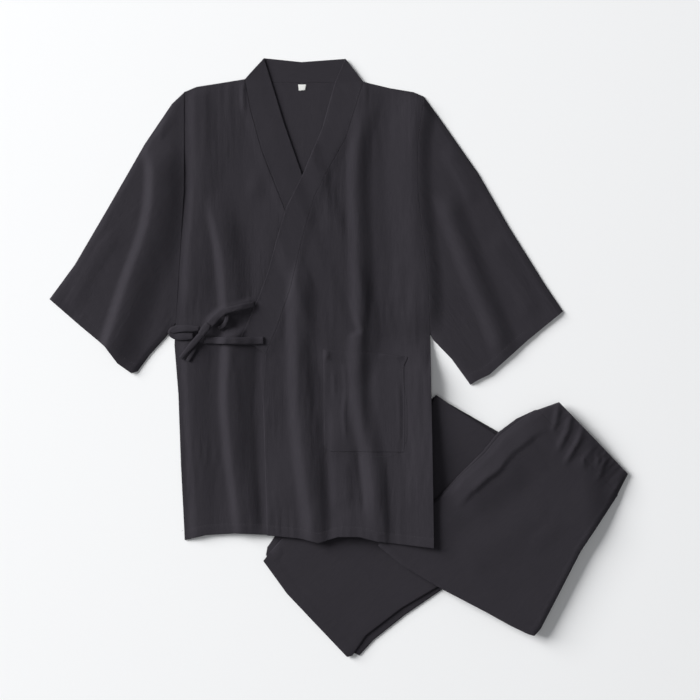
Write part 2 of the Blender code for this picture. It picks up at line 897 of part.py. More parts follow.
FLOOR = Surface(lambda x, y: 0.0)
ON_UNDER_LEG = FLOOR.above(over(LEG_UNDER, PLY_PAIR + GAP))
ON_BOTH_LEGS = ON_UNDER_LEG.above(over(LEG_UPPER, PLY_PAIR + GAP))
FOLDED_TOP = 2.0 * (PLY_PAIR + GAP) + FOLDED_PLIES
OVER_FOLDED = over(FOLDED_LAYERS, FOLDED_TOP + GAP, CELL_X, LONG_RUN_CELLS)
ON_FOLDED_LAYERS = Surface(lambda x, y: max(ON_BOTH_LEGS.height(x, y), OVER_FOLDED(x, y)))
ON_UNDER_SEAT = ON_FOLDED_LAYERS.above(over(UNDER_SEAT, PLY_PAIR + GAP))
SPAN_FOLDED = bridged(FOLDED_LAYERS, FOLDED_TOP + GAP)
UNDER_JACKET = Surface(lambda x, y: max(ON_FOLDED_LAYERS.height(x, y), SPAN_FOLDED(x, y)))
ON_TROUSERS = UNDER_JACKET.above(bridged(UNDER_SEAT, PLY_PAIR + GAP)).above(bridged(SEAT, PLY_PAIR + GAP))
ON_BACK = ON_TROUSERS.above(folded(BODY_FOLDS)).above(CLOTH + GAP)
ON_RIGHT_FRONT = ON_BACK.above(over(UNDERLAP, CLOTH + GAP)).above(over(UNDER_BAND, BAND + GAP))
ON_LEFT_FRONT = ON_RIGHT_FRONT.above(CLOTH + GAP)
UNDER_TIES = ON_RIGHT_FRONT.above(over(OVER_BAND, BAND + GAP))


def build_jacket():
    add_object("jacket_back", wall(back_outline(), ON_TROUSERS, CLOTH))
    add_object("jacket_front_right", wall(UNDERLAP, ON_BACK, CLOTH))
    add_object("jacket_front_left", wall(left_front_outline(), ON_RIGHT_FRONT, CLOTH))
    add_object("jacket_collar_back", wall(BACK_COLLAR_TOP + NECK_SEAM, ON_TROUSERS, CLOTH))
    add_object("jacket_collar_right", wall(UNDER_BAND, ON_BACK, BAND))
    add_object("jacket_collar_left", wall(OVER_BAND, ON_RIGHT_FRONT, BAND))
    add_object("jacket_pocket", wall(POCKET, ON_LEFT_FRONT, CLOTH))
    add_object("jacket_neck_label", wall(LABEL_CORNERS, ON_TROUSERS.above(CLOTH + GAP), LABEL), LABEL_WHITE)


def build_sleeve(name, fold, cuff, underarm, armhole, folds):
    """A flattened sleeve: its upper wall is folded, and its lower wall lies flat."""
    flat = Surface(lambda x, y: 0.0, SLEEVE_CELL_X, SLEEVE_CELL_Y)
    top = flat.above(folded(folds)).above(PLY_PAIR)
    outline = fold + cuff + underarm + list(reversed(armhole))
    upper_edge = [armhole[0]] + fold
    lower_edge = [cuff[-1]] + underarm + [armhole[-1]]
    room = tube_room(upper_edge, lower_edge, SLEEVE_OVERRUN, SLEEVE_OVERRUN)
    flat_tube(name, outline, room, flat, top)


def build_sleeves():
    build_sleeve(
        "jacket_sleeve_right",
        RIGHT_SLEEVE_FOLD,
        RIGHT_CUFF,
        RIGHT_UNDERARM,
        RIGHT_SIDE[:RIGHT_ARMHOLE_ROWS],
        RIGHT_SLEEVE_FOLDS,
    )
    build_sleeve(
        "jacket_sleeve_left",
        LEFT_SLEEVE_FOLD,
        LEFT_CUFF,
        LEFT_UNDERARM,
        LEFT_SIDE[:LEFT_ARMHOLE_ROWS],
        LEFT_SLEEVE_FOLDS,
    )


def build_leg_end(name, outline, rise_edge, outseam, bottom):
    """The end of a leg, open at the hem."""
    room = tube_room(rise_edge, outseam, 0.0, HEM_OVERRUN)
    flat_tube(name, outline, room, bottom, bottom.above(PLY_PAIR))


def build_trousers():
    build_leg_end("trousers_leg_right_end", LEG_UNDER, LEG_UNDER_RISE, LEG_UNDER_OUTSEAM, FLOOR)
    build_leg_end("trousers_leg_left_end", LEG_UPPER, LEG_UPPER_RISE, LEG_UPPER_OUTSEAM, ON_UNDER_LEG)
    folded_layers = stack(FOLDED_LAYERS, ON_BOTH_LEGS, FLOOR.above(FOLDED_TOP), STACK_EDGE)
    add_object("trousers_folded_layers", folded_layers)
    under_seat = stack(UNDER_SEAT, ON_FOLDED_LAYERS, ON_FOLDED_LAYERS.above(PLY_PAIR), PAIR_EDGE)
    add_object("trousers_seat_right", under_seat)
    band = folded(SEAT_FOLDS)
    seat_top = Lifted(ON_UNDER_SEAT.above(PLY_PAIR), lambda x, y: band(x, y) + gathered(x, y))
    add_object("trousers_seat_left", stack(SEAT, ON_UNDER_SEAT, seat_top, PAIR_EDGE, 2))
    waistband = add_object("trousers_waistband", casing_block(0.0, 0.0, 0.0))
    hollow_out(waistband, casing_block(TUBE_EDGE, CASING_OVERRUN, CASING_WALL))


def build_ties():
    for name, rows in TIES.items():
        add_object(name, strap(rows, UNDER_TIES))


clear_scene()
build_trousers()
build_jacket()
build_sleeves()
build_ties()
centre_on_floor()
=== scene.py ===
# Kimono pajama set laid flat: a crossed jacket with a tied waist, over trousers folded in three.
# Tables hold millimetres in the drawing's plane. Right and left are the wearer's, +Y is towards the neck.
import math

import bmesh
import bpy
import numpy as np
from mathutils import Matrix, Vector


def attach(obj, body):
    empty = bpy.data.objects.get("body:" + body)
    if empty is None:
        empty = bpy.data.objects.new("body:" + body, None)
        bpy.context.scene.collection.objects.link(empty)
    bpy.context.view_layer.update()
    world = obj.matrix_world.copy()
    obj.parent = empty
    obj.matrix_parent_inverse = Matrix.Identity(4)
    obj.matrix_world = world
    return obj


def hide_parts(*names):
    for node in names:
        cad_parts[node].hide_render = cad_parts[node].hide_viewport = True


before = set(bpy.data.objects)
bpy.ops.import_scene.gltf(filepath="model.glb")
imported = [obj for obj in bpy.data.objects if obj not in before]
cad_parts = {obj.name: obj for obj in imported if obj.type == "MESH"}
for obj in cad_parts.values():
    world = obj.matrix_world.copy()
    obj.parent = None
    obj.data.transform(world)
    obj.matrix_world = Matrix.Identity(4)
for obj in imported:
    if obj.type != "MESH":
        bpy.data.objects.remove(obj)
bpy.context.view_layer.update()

print("stage: tables and heights")

# The drawing's scale and middle, the shared grid that every piece is cut from, and a distance that stands
# for no edge near
layout = {
    "mm": 0.001, "middleX": -0.153, "middleY": 0.505, "cell": 3.0, "snap": 0.1, "binSize": 12.0, "far": 1e9,
}

# Cloth thicknesses and the way cloth falls off the edge of a stack under it
cloth = {
    "wall": 1.0,
    "gap": 0.4,
    "band": 2.0,
    "seam": 0.16,
    "edgeDrop": 0.45,
    "edgeRound": 1.6,
    "sharpAngle": 62.0,
    # fall to the ground: cell width and height, how many cells the cloth reaches past a stack,
    # and over how many it comes down
    "close": (12.0, 30.0, 1.45, 1.4),
    "layers": (12.0, 30.0, 1.45, 6.0),
    "span": (45.0, 30.0, 0.35, 3.2),
}

# A crease fades out over its ends: over this length, within these shares of the whole
crease = {"fade": 28.0, "shortest": 0.16, "longest": 0.5}

# Camera straight above the middle of the picture; the frame is what its width shows at the height lookAt
camera = {"x": 17.5, "y": 11.5, "height": 3200.0, "frame": 1085.0, "lookAt": 5.0, "sensor": 36.0}


# Plane helpers on numpy arrays

def ease(t):
    t = np.clip(t, 0.0, 1.0)
    return t * t * (3.0 - 2.0 * t)


def links(chain, closed=False):
    return list(zip(chain, chain[1:] + (chain[:1] if closed else [])))


def insideOutline(x, y, outline):
    hit = np.zeros(np.shape(x), bool)
    for (ax, ay), (bx, by) in links(outline, True):
        if ay != by:
            crosses = (ay > y) != (by > y)
            hit ^= crosses & (x < ax + (y - ay) * (bx - ax) / (by - ay))
    return hit


def alongChain(x, y, chain, closed=False):
    # distance, side (+1 on the left of the way along) and share of the length
    best = np.full(np.shape(x), layout["far"])
    side = np.zeros(np.shape(x))
    place = np.zeros(np.shape(x))
    pairs = links(chain, closed)
    total = sum(math.dist(a, b) for a, b in pairs)
    run = 0.0
    for (ax, ay), (bx, by) in pairs:
        dx, dy = bx - ax, by - ay
        length = max(math.hypot(dx, dy), 1e-6)
        t = np.clip(((x - ax) * dx + (y - ay) * dy) / length ** 2, 0.0, 1.0)
        gx, gy = x - ax - t * dx, y - ay - t * dy
        away = np.hypot(gx, gy)
        nearer = away < best
        best = np.where(nearer, away, best)
        side = np.where(nearer, np.sign(dx * gy - dy * gx), side)
        place = np.where(nearer, (run + t * length) / total, place)
        run += length
    return best, side, place


def through(a, b, c, d, t):
    bend = (2.0 * a - 5.0 * b + 4.0 * c - d) * t * t
    twist = (3.0 * b - a - 3.0 * c + d) * t * t * t
    return 0.5 * (2.0 * b + (c - a) * t + bend + twist)


def curveFrom(rows, index, steps):
    # stations on the soft curve through the rows, from one row up to the next
    four = (rows[max(index - 1, 0)], rows[index], rows[index + 1], rows[min(index + 2, len(rows) - 1)])
    return [tuple(through(*values, step / steps) for values in zip(*four)) for step in range(steps)]


def smoothChain(points, steps=6):
    curve = [spot for index in range(len(points) - 1) for spot in curveFrom(points, index, steps)]
    return curve + [tuple(points[-1])]


def drawnIn(outline, distance, closed=True):
    # the outline moved to its inner side; an open chain moves to its left
    turn = 1.0
    if closed:
        area = sum(ax * by - bx * ay for (ax, ay), (bx, by) in links(outline, True))
        turn = 1.0 if area > 0.0 else -1.0
    count = len(outline)
    moved = []
    for index, here in enumerate(outline):
        before = outline[index - 1] if closed or index else None
        after = outline[(index + 1) % count] if closed or index < count - 1 else None
        normals = []
        for a, b in ((before, here), (here, after)):
            if a and b and math.dist(a, b) > 0.01:
                normals.append(Vector((a[1] - b[1], b[0] - a[0])).normalized() * turn)
        normal = sum(normals, Vector((0.0, 0.0))).normalized()
        reach = distance / max(0.35, normal.dot(normals[0]))
        moved.append((here[0] + normal.x * reach, here[1] + normal.y * reach))
    return moved


def overStack(x, y, outline, rise, fall="close"):
    # what cloth gains where it lies over a stack, falling off beside it
    wide, tall, reach, run = cloth[fall]
    sx, sy = x / wide, y / tall
    cells = [(px / wide, py / tall) for px, py in outline]
    away = alongChain(sx, sy, cells, True)[0]
    away = np.where(insideOutline(sx, sy, cells), 0.0, away)
    return rise * (1.0 - ease((away - reach) / run))


def softNoise(u, v, seed):
    table = np.random.RandomState(seed).rand(64, 64) * 2.0 - 1.0
    column, row = np.floor(u).astype(int), np.floor(v).astype(int)
    fu, fv = ease(u - column), ease(v - row)
    c0, c1, r0, r1 = column % 64, (column + 1) % 64, row % 64, (row + 1) % 64
    low = table[r0, c0] * (1.0 - fu) + table[r0, c1] * fu
    high = table[r1, c0] * (1.0 - fu) + table[r1, c1] * fu
    return low * (1.0 - fv) + high * fv


def creaseHeight(x, y, creases):
    # each crease: points from its start, width on the right, width on the left, height
    total = np.zeros(np.shape(x))
    for points, right, left, height in creases:
        away, side, place = alongChain(x, y, smoothChain(points))
        width = np.where(side > 0.0, left, right)
        across = 0.5 + 0.5 * np.cos(np.pi * np.clip(away / width, 0.0, 1.0))
        length = sum(math.dist(a, b) for a, b in links(points))
        share = min(crease["longest"], max(crease["shortest"], crease["fade"] / length))
        fade = ease(place / share) * ease((1.0 - place) / share)
        total += (height * across * fade) ** 3
    return np.cbrt(total)


def roundEdge(distance, radius):
    # quarter circle: 0 at the edge, 1 from the radius inwards
    share = np.clip(1.0 - distance / radius, 0.0, 1.0)
    return np.sqrt(np.clip(1.0 - share * share, 0.0, 1.0))


# Cutting and raising cloth

def gridOver(outline):
    # the part of the shared grid that covers an outline
    cell = layout["cell"]
    left = math.floor(min(p[0] for p in outline) / cell) - 1
    right = math.ceil(max(p[0] for p in outline) / cell) + 1
    low = math.floor(min(p[1] for p in outline) / cell) - 1
    high = math.ceil(max(p[1] for p in outline) / cell) + 1
    size = ((right - left) * cell / 2.0, (high - low) * cell / 2.0, 1.0)
    middle = ((right + left) * cell / 2.0, (high + low) * cell / 2.0, 0.0)
    bm = bmesh.new()
    bmesh.ops.create_grid(bm, x_segments=right - left, y_segments=high - low, size=1.0)
    bmesh.ops.scale(bm, vec=size, verts=bm.verts)
    bmesh.ops.translate(bm, vec=middle, verts=bm.verts)
    return bm


def binSpan(a, b):
    # the bins that a line from a to b and the cells beside it touch, along one axis
    cell, size = layout["cell"], layout["binSize"]
    return range(math.floor((min(a, b) - cell) / size), math.floor((max(a, b) + cell) / size) + 1)


def touches(face, start, side):
    # whether a face's middle lies within a cell or so of a line
    middle = face.calc_center_median()
    dx, dy = middle.x - start[0], middle.y - start[1]
    share = min(1.0, max(0.0, dx * side.x / side.length_squared + dy * side.y / side.length_squared))
    return math.hypot(dx - share * side.x, dy - share * side.y) < layout["cell"] * 1.2


def cutCloth(outline, rings=(0.5, 1.5), chains=()):
    # a sheet of the shared grid, cut to an outline, with edge loops at the rings and along the chains
    bm = gridOver(outline)
    dropOutside(bm, outline, layout["cell"] * 1.5)
    size = layout["binSize"]
    bins = {}

    def binFace(face):
        middle = face.calc_center_median()
        bins.setdefault((math.floor(middle.x / size), math.floor(middle.y / size)), set()).add(face)

    for face in bm.faces:
        binFace(face)
    lines = links(outline, True)
    for ring in rings:
        lines += links(drawnIn(outline, ring), True)
    for chain in chains:
        lines += links(chain)
    for start, end in lines:
        side = Vector((end[0] - start[0], end[1] - start[1], 0.0))
        if side.length < 0.05:
            continue
        near = []
        for column in binSpan(start[0], end[0]):
            for row in binSpan(start[1], end[1]):
                near += [f for f in bins.get((column, row), ()) if f.is_valid and touches(f, start, side)]
        edges = list({edge for face in near for edge in face.edges})
        verts = list({vert for face in near for vert in face.verts})
        cut = bmesh.ops.bisect_plane(
            bm, geom=near + edges + verts, dist=layout["snap"],
            plane_co=(start[0], start[1], 0.0), plane_no=Vector((-side.y, side.x, 0.0)).normalized(),
        )
        for item in cut["geom"]:
            if isinstance(item, bmesh.types.BMFace):
                binFace(item)
    dropOutside(bm, outline, 0.0)
    return bm


def dropOutside(bm, outline, margin):
    faces = list(bm.faces)
    middles = np.array([face.calc_center_median()[:2] for face in faces])
    out = ~insideOutline(middles[:, 0], middles[:, 1], outline)
    if margin:
        out &= alongChain(middles[:, 0], middles[:, 1], outline, True)[0] > margin
    bmesh.ops.delete(bm, geom=[face for face, gone in zip(faces, out) if gone], context="FACES")


def planeOf(verts):
    flat = np.array([vert.co[:2] for vert in verts])
    return flat[:, 0], flat[:, 1]


def raiseTo(verts, heights):
    for vert, height in zip(verts, heights):
        vert.co.z = height


def doubled(bm):
    # a second sheet under the first, facing down
    copy = bmesh.ops.duplicate(bm, geom=bm.verts[:] + bm.edges[:] + bm.faces[:])["geom"]
    lowerFaces = [item for item in copy if isinstance(item, bmesh.types.BMFace)]
    lowerVerts = [item for item in copy if isinstance(item, bmesh.types.BMVert)]
    known = set(lowerVerts)
    bmesh.ops.reverse_faces(bm, faces=lowerFaces)
    return [vert for vert in bm.verts if vert not in known], lowerVerts


# Edge loops near a tube's and a stack's edges, the radii of a tube's band edge and of its sewn edge,
# and how far in from its edge a relief is full
press = {
    "tubeRings": (0.3, 1.0, 2.6), "stackRings": (0.6, 1.8, 3.6), "bandRound": 0.6, "sewnRound": 0.3,
    "besideSeam": 3.0, "reliefIn": 8.0, "weld": 0.03, "stackRound": 3.6, "stackSwell": 1.4,
}


def pressTube(outline, closedChains, loft, base, relief=None, closed=False, seam=None):
    # two walls that meet in round folds along the closed chains, squarer where a seam is given
    bm = cutCloth(outline, press["tubeRings"])
    upper, lower = doubled(bm)
    for verts, sign in ((upper, 1.0), (lower, -1.0)):
        x, y = planeOf(verts)
        away = np.full(x.shape, layout["far"])
        for chain in closedChains:
            away = np.minimum(away, alongChain(x, y, chain, closed)[0])
        away = np.where(away < layout["snap"] * 2.0, 0.0, away)
        rounding = roundEdge(away, loft / 2.0)
        if seam:
            beside = ease(1.0 - alongChain(x, y, seam)[0] / press["besideSeam"])
            rounding = roundEdge(away, press["bandRound"]) * (1.0 - beside)
            rounding = rounding + roundEdge(away, press["sewnRound"]) * beside
        height = base(x, y) + loft / 2.0 + sign * loft / 2.0 * rounding
        if relief and sign > 0.0:
            height += relief(x, y) * ease(away / press["reliefIn"])
        raiseTo(verts, height)
    rim = [vert for vert in bm.verts if vert.is_boundary]
    bmesh.ops.remove_doubles(bm, verts=rim, dist=press["weld"])
    return bm


def pressStack(outline, bottom, top, plies, relief=None, seam=None):
    # folded layers as one rounded body, with the folded edge of each ply round its side;
    # the side that starts at the corner "seam" stays square, since another piece goes on there
    swell = press["stackSwell"]
    inner = drawnIn(outline, swell)
    rounded = inner + inner[:1]
    if seam is not None:
        for index in (seam, seam + 1):
            (px, py), (qx, qy) = outline[index], inner[index]
            share = 1.0 - cloth["seam"] / 2.0 / swell
            inner[index] = (qx + (px - qx) * share, qy + (py - qy) * share)
        rounded = inner[seam + 1:] + inner[:seam + 1]
    bm = cutCloth(inner, press["stackRings"])
    upper, lower = doubled(bm)
    for verts, sign in ((upper, 1.0), (lower, -1.0)):
        x, y = planeOf(verts)
        away = alongChain(x, y, rounded)[0]
        surface = top if sign > 0.0 else bottom
        height = surface(x, y) - sign * 0.5 * (1.0 - roundEdge(away, press["stackRound"]))
        if relief and sign > 0.0:
            height += relief(x, y) * ease(away / press["reliefIn"])
        raiseTo(verts, height)
    bmesh.ops.bridge_loops(bm, edges=[edge for edge in bm.edges if edge.is_boundary])
    bm.normal_update()
    upright = [edge for edge in bm.edges if math.dist(edge.verts[0].co[:2], edge.verts[1].co[:2]) < 0.02]
    pushes = {}
    for edge in upright:
        push = sum((face.normal for face in edge.link_faces), Vector())
        push.z = 0.0
        low, high = sorted(vert.co.z for vert in edge.verts)
        push.normalize()
        spot = edge.verts[0].co
        if seam is not None:
            push *= float(ease(alongChain(spot.x, spot.y, inner[seam:seam + 2])[0] / 4.0))
        pushes[spotKey(spot)] = (push, low, max(high - low, 0.1))
    made = bmesh.ops.subdivide_edges(bm, edges=upright, cuts=plies * 4 - 1, use_grid_fill=True)
    for vert in {item for item in made["geom_inner"] if isinstance(item, bmesh.types.BMVert)}:
        found = pushes.get(spotKey(vert.co))
        if found:
            push, low, tall = found
            share = (vert.co.z - low) / tall
            bulge = abs(math.sin(math.pi * plies * share)) ** 0.5
            whole = math.sin(math.pi * share) ** 0.4
            vert.co += push * swell * (0.35 * whole + 0.65 * bulge * whole)
    bmesh.ops.recalc_face_normals(bm, faces=bm.faces)
    return bm


def spotKey(spot):
    return round(spot.x, 2), round(spot.y, 2)


def topOf(bottom, wall, lift=0.0):
    return lambda x, y: bottom(x, y) + wall + lift


def makePiece(name, bm, look, nodes, thick=0.0, grain=0.0):
    # mesh in metres in the frame, a UV map in metres along the grain, then its wall, material and body
    mesh = bpy.data.meshes.new(name)
    bm.to_mesh(mesh)
    bm.free()
    count = len(mesh.vertices)
    points = np.zeros(count * 3)
    mesh.vertices.foreach_get("co", points)
    points = points.reshape(-1, 3)
    points[:, 0] -= layout["middleX"]
    points[:, 1] -= layout["middleY"]
    points *= layout["mm"]
    mesh.vertices.foreach_set("co", points.ravel())
    if not mesh.uv_layers:
        turn = math.radians(grain)
        corners = np.zeros(len(mesh.loops), int)
        mesh.loops.foreach_get("vertex_index", corners)
        spots = points[corners]
        u = spots[:, 0] * math.cos(turn) + spots[:, 1] * math.sin(turn)
        v = spots[:, 1] * math.cos(turn) - spots[:, 0] * math.sin(turn) + spots[:, 2]
        layer = mesh.uv_layers.new(name="cut")
        layer.data.foreach_set("uv", np.stack([u, v], 1).ravel())
    mesh.shade_smooth()
    mesh.set_sharp_from_angle(angle=math.radians(cloth["sharpAngle"]))
    mesh.update()
    thing = bpy.data.objects.new(name, mesh)
    bpy.context.scene.collection.objects.link(thing)
    mesh.materials.append(look)
    if thick:
        wall = thing.modifiers.new("wall", "SOLIDIFY")
        wall.thickness = thick * layout["mm"]
        wall.offset = -1.0
    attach(thing, "root")
    if nodes:
        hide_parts(*nodes)
    return thing


# Materials

print("stage: materials")

# Darkest and lightest tone of each cloth, its crinkle and weave in millimetres, and its sheen
charcoal = ((0.021, 0.019, 0.024, 1.0), (0.0345, 0.0315, 0.038, 1.0))
looks = {
    "jacket gauze": (*charcoal, 0.7, 0.06, 0.02),
    "collar gauze": (*charcoal, 0.3, 0.06, 0.02),
    "trouser gauze": (*charcoal, 0.25, 0.06, 0.02),
    "label tape": ((0.68, 0.68, 0.66, 1.0), (0.8, 0.8, 0.78, 1.0), 0.05, 0.03, 0.0),
    "sewing thread": ((0.03, 0.029, 0.034, 1.0), (0.045, 0.043, 0.05, 1.0), 0.0, 0.02, 0.2),
}
# Scale of each noise across and along the grain, in waves a metre, and of the threads
grainScale = {
    "pucker": (150.0, 24.0, 1.0),
    "fine": (420.0, 70.0, 1.0),
    "patch": (16.0, 7.0, 1.0),
    "slub": (1100.0, 60.0, 1.0),
    "cloud": (9.0, 7.0, 1.0),
    "thread": 900.0,
}


def mathNode(tree, operation, first, second=None):
    node = tree.nodes.new("ShaderNodeMath")
    node.operation = operation
    for index, value in enumerate((first, second)):
        if value is None:
            continue
        if isinstance(value, (int, float)):
            node.inputs[index].default_value = value
        else:
            tree.links.new(value, node.inputs[index])
    return node.outputs[0]


def streakNoise(tree, vector, scale, detail, seedShift):
    # noise drawn out along the grain
    mapping = tree.nodes.new("ShaderNodeMapping")
    mapping.inputs["Scale"].default_value = scale
    mapping.inputs["Location"].default_value = (seedShift, seedShift * 0.7, 0.0)
    tree.links.new(vector, mapping.inputs["Vector"])
    noise = tree.nodes.new("ShaderNodeTexNoise")
    noise.inputs["Scale"].default_value = 1.0
    noise.inputs["Detail"].default_value = detail
    noise.inputs["Roughness"].default_value = 0.55
    tree.links.new(mapping.outputs["Vector"], noise.inputs["Vector"])
    return noise.outputs["Fac"]


def threadWave(tree, vector, direction, scale):
    wave = tree.nodes.new("ShaderNodeTexWave")
    wave.bands_direction = direction
    wave.inputs["Scale"].default_value = scale
    wave.inputs["Distortion"].default_value = 1.2
    wave.inputs["Detail"].default_value = 1.0
    wave.inputs["Detail Scale"].default_value = 0.4
    tree.links.new(vector, wave.inputs["Vector"])
    return wave.outputs["Fac"]


def makeGroup(name, inputs, outputs):
    group = bpy.data.node_groups.new(name, "ShaderNodeTree")
    for label, kind, value in inputs:
        socket = group.interface.new_socket(label, in_out="INPUT", socket_type=kind)
        if value is not None:
            socket.default_value = value
    for label, kind in outputs:
        group.interface.new_socket(label, in_out="OUTPUT", socket_type=kind)
    return group, group.nodes.new("NodeGroupInput"), group.nodes.new("NodeGroupOutput")


def gauzeCrinkleGroup():
    # height in millimetres of the puckered double gauze, and a mask of its crests that paints a highlight on
    # them
    group, source, sink = makeGroup(
        "gauze crinkle",
        [
            ("Vector", "NodeSocketVector", None),
            ("Crinkle", "NodeSocketFloat", 0.5),
            ("Weave", "NodeSocketFloat", 0.05),
        ],
        [("Height", "NodeSocketFloat"), ("Crest Highlight", "NodeSocketFloat")],
    )
    vector = source.outputs["Vector"]
    broad = streakNoise(group, vector, grainScale["pucker"], 2.0, 3.1)
    fine = streakNoise(group, vector, grainScale["fine"], 3.0, 11.7)
    patch = streakNoise(group, vector, grainScale["patch"], 1.0, 5.3)
    patchy = mathNode(group, "MULTIPLY", mathNode(group, "SUBTRACT", patch, 0.3), 2.4)
    patchy = mathNode(group, "MAXIMUM", mathNode(group, "MINIMUM", patchy, 1.0), 0.15)
    ripple = mathNode(group, "ADD", broad, mathNode(group, "MULTIPLY", fine, 0.35))
    ripple = mathNode(group, "MULTIPLY", ripple, patchy)
    ripple = mathNode(group, "MULTIPLY", ripple, source.outputs["Crinkle"])
    warp = threadWave(group, vector, "X", grainScale["thread"])
    weft = threadWave(group, vector, "Y", grainScale["thread"])
    threads = mathNode(group, "MULTIPLY", mathNode(group, "MULTIPLY", warp, weft), source.outputs["Weave"])
    group.links.new(mathNode(group, "ADD", ripple, threads), sink.inputs["Height"])
    # painted highlight mask: high where both noises are high, on the crinkle's crests
    group.links.new(mathNode(group, "MULTIPLY", fine, broad), sink.inputs["Crest Highlight"])
    return group


def clothToneGroup():
    # dyed tone with slubs along the grain, and a painted highlight that makes the crinkle's crests paler
    group, source, sink = makeGroup(
        "cloth tone",
        [
            ("Vector", "NodeSocketVector", None),
            ("Crest Highlight", "NodeSocketFloat", 0.3),
            ("Dark", "NodeSocketColor", charcoal[0]),
            ("Light", "NodeSocketColor", charcoal[1]),
        ],
        [("Color", "NodeSocketColor"), ("Roughness", "NodeSocketFloat")],
    )
    vector = source.outputs["Vector"]
    slub = streakNoise(group, vector, grainScale["slub"], 2.0, 8.9)
    cloud = streakNoise(group, vector, grainScale["cloud"], 2.0, 2.2)
    slubs = mathNode(group, "MULTIPLY", slub, 0.45)
    blend = mathNode(group, "ADD", slubs, mathNode(group, "MULTIPLY", cloud, 0.4))
    # painted highlight: the tone moves towards the light colour on the crinkle's crests
    blend = mathNode(group, "ADD", blend, mathNode(group, "MULTIPLY", source.outputs["Crest Highlight"], 0.5))
    mix = group.nodes.new("ShaderNodeMix")
    # its colour sockets have the same names as its other ones, so they go by number
    mix.data_type = "RGBA"
    group.links.new(blend, mix.inputs["Factor"])
    group.links.new(source.outputs["Dark"], mix.inputs[6])
    group.links.new(source.outputs["Light"], mix.inputs[7])
    group.links.new(mix.outputs[2], sink.inputs["Color"])
    rough = mathNode(group, "SUBTRACT", 0.98, mathNode(group, "MULTIPLY", slub, 0.16))
    group.links.new(rough, sink.inputs["Roughness"])
    return group


crinkleGroup = gauzeCrinkleGroup()
toneGroup = clothToneGroup()


def clothMaterial(name):
    dark, light, crinkle, weave, sheen = looks[name]
    material = bpy.data.materials.new(name)
    material.use_nodes = True
    tree = material.node_tree
    shader = tree.nodes["Principled BSDF"]
    uv = tree.nodes.new("ShaderNodeUVMap")
    uv.uv_map = "cut"
    ripple = tree.nodes.new("ShaderNodeGroup")
    ripple.node_tree = crinkleGroup
    ripple.inputs["Crinkle"].default_value = crinkle
    ripple.inputs["Weave"].default_value = weave
    tone = tree.nodes.new("ShaderNodeGroup")
    tone.node_tree = toneGroup
    tone.inputs["Dark"].default_value = dark
    tone.inputs["Light"].default_value = light
    tree.links.new(uv.outputs["UV"], ripple.inputs["Vector"])
    tree.links.new(uv.outputs["UV"], tone.inputs["Vector"])
    # the crest mask carries the painted highlight from the crinkle into the tone
    tree.links.new(ripple.outputs["Crest Highlight"], tone.inputs["Crest Highlight"])
    bump = tree.nodes.new("ShaderNodeBump")
    bump.inputs["Distance"].default_value = layout["mm"]
    bump.inputs["Strength"].default_value = 1.0
    tree.links.new(ripple.outputs["Height"], bump.inputs["Height"])
    tree.links.new(tone.outputs["Color"], shader.inputs["Base Color"])
    tree.links.new(tone.outputs["Roughness"], shader.inputs["Roughness"])
    tree.links.new(bump.outputs["Normal"], shader.inputs["Normal"])
    shader.inputs["Specular IOR Level"].default_value = 0.12
    shader.inputs["Sheen Weight"].default_value = sheen
    shader.inputs["Sheen Roughness"].default_value = 0.45
    return material


jacketGauze, collarGauze, trouserGauze, labelTape, threadLook = [clothMaterial(name) for name in looks]


# Trousers' outlines, and how high each layer lies

trousers = {
    "legUnder": [
        (-89, -262), (-111, -294), (-113, -306), (-60, -385), (18, -455), (32, -462), (54, -438), (103, -399),
        (160, -360), (281, -259), (370, -190), (258, -121), (150, -59), (18, -165),
    ],
    "legUpper": [
        (-72, -262), (-106, -300), (-117, -315), (-80, -366), (-25, -424), (13, -464), (21, -462), (42, -431),
        (98, -388), (156, -354), (281, -253), (364, -190), (258, -124), (155, -64), (22, -170),
    ],
    "layers": [
        (60, -288), (98, -319), (162, -357), (227, -391), (297, -427), (318, -400), (345, -340), (366, -280),
        (360, -195), (310, -140), (244, -119), (193, -86), (150, -57), (100, -174),
    ],
    "seatFold": [(60, -290), (98, -321), (162, -359), (227, -393)],
    "seatOutseam": [
        (265, -414), (292, -427), (302, -430), (312, -419), (337, -371), (374, -299), (428, -219),
    ],
    "waistSeam": [(432.8, -210.1), (307.5, -80.2)],
    "seatRise": [(278, -97), (249, -119), (225, -148), (187, -183), (154, -219), (111, -250)],
    "ply": 3.0,
    "layersThick": 4.4,
    "gap": 0.3,
    "grain": -47.0,
    "hemUnder": [(-111, -294), (-113, -306), (-60, -385), (18, -455), (32, -462)],
    "hemUpper": [(-106, -300), (-117, -315), (-80, -366), (-25, -424), (13, -464)],
    "hemDepth": 18.0,
    # the rolled band along the rise, how high the seat stays behind it,
    # and how far the layers and the jacket over them sink
    "bandWidth": 30.0,
    "bandHeight": 3.4,
    "bandHollow": 3.0,
    "layersDip": 3.2,
    "jacketDip": 2.4,
    # how far the under seat half shows past the upper one at each point of the rise
    "underShows": (3.2, 3.4, 3.0, 1.8, 1.5, 1.5),
}
seatOutline = trousers["seatFold"] + trousers["seatOutseam"] + trousers["waistSeam"] + trousers["seatRise"]
waistCornerIndex = len(trousers["seatFold"] + trousers["seatOutseam"])
underRise = [(x - out, y + out) for (x, y), out in zip(trousers["seatRise"], trousers["underShows"])]
seatUnderOutline = trousers["seatFold"] + trousers["seatOutseam"] + trousers["waistSeam"] + underRise
plyStep = trousers["ply"] + trousers["gap"]
layersTop = 2.0 * plyStep + trousers["layersThick"]


def onFloor(x, y):
    return np.zeros(np.shape(x))


def onLegUnder(x, y):
    return overStack(x, y, trousers["legUnder"], plyStep)


def onLegs(x, y, fall="close"):
    under, upper = (overStack(x, y, trousers[leg], plyStep, fall) for leg in ("legUnder", "legUpper"))
    return under + upper


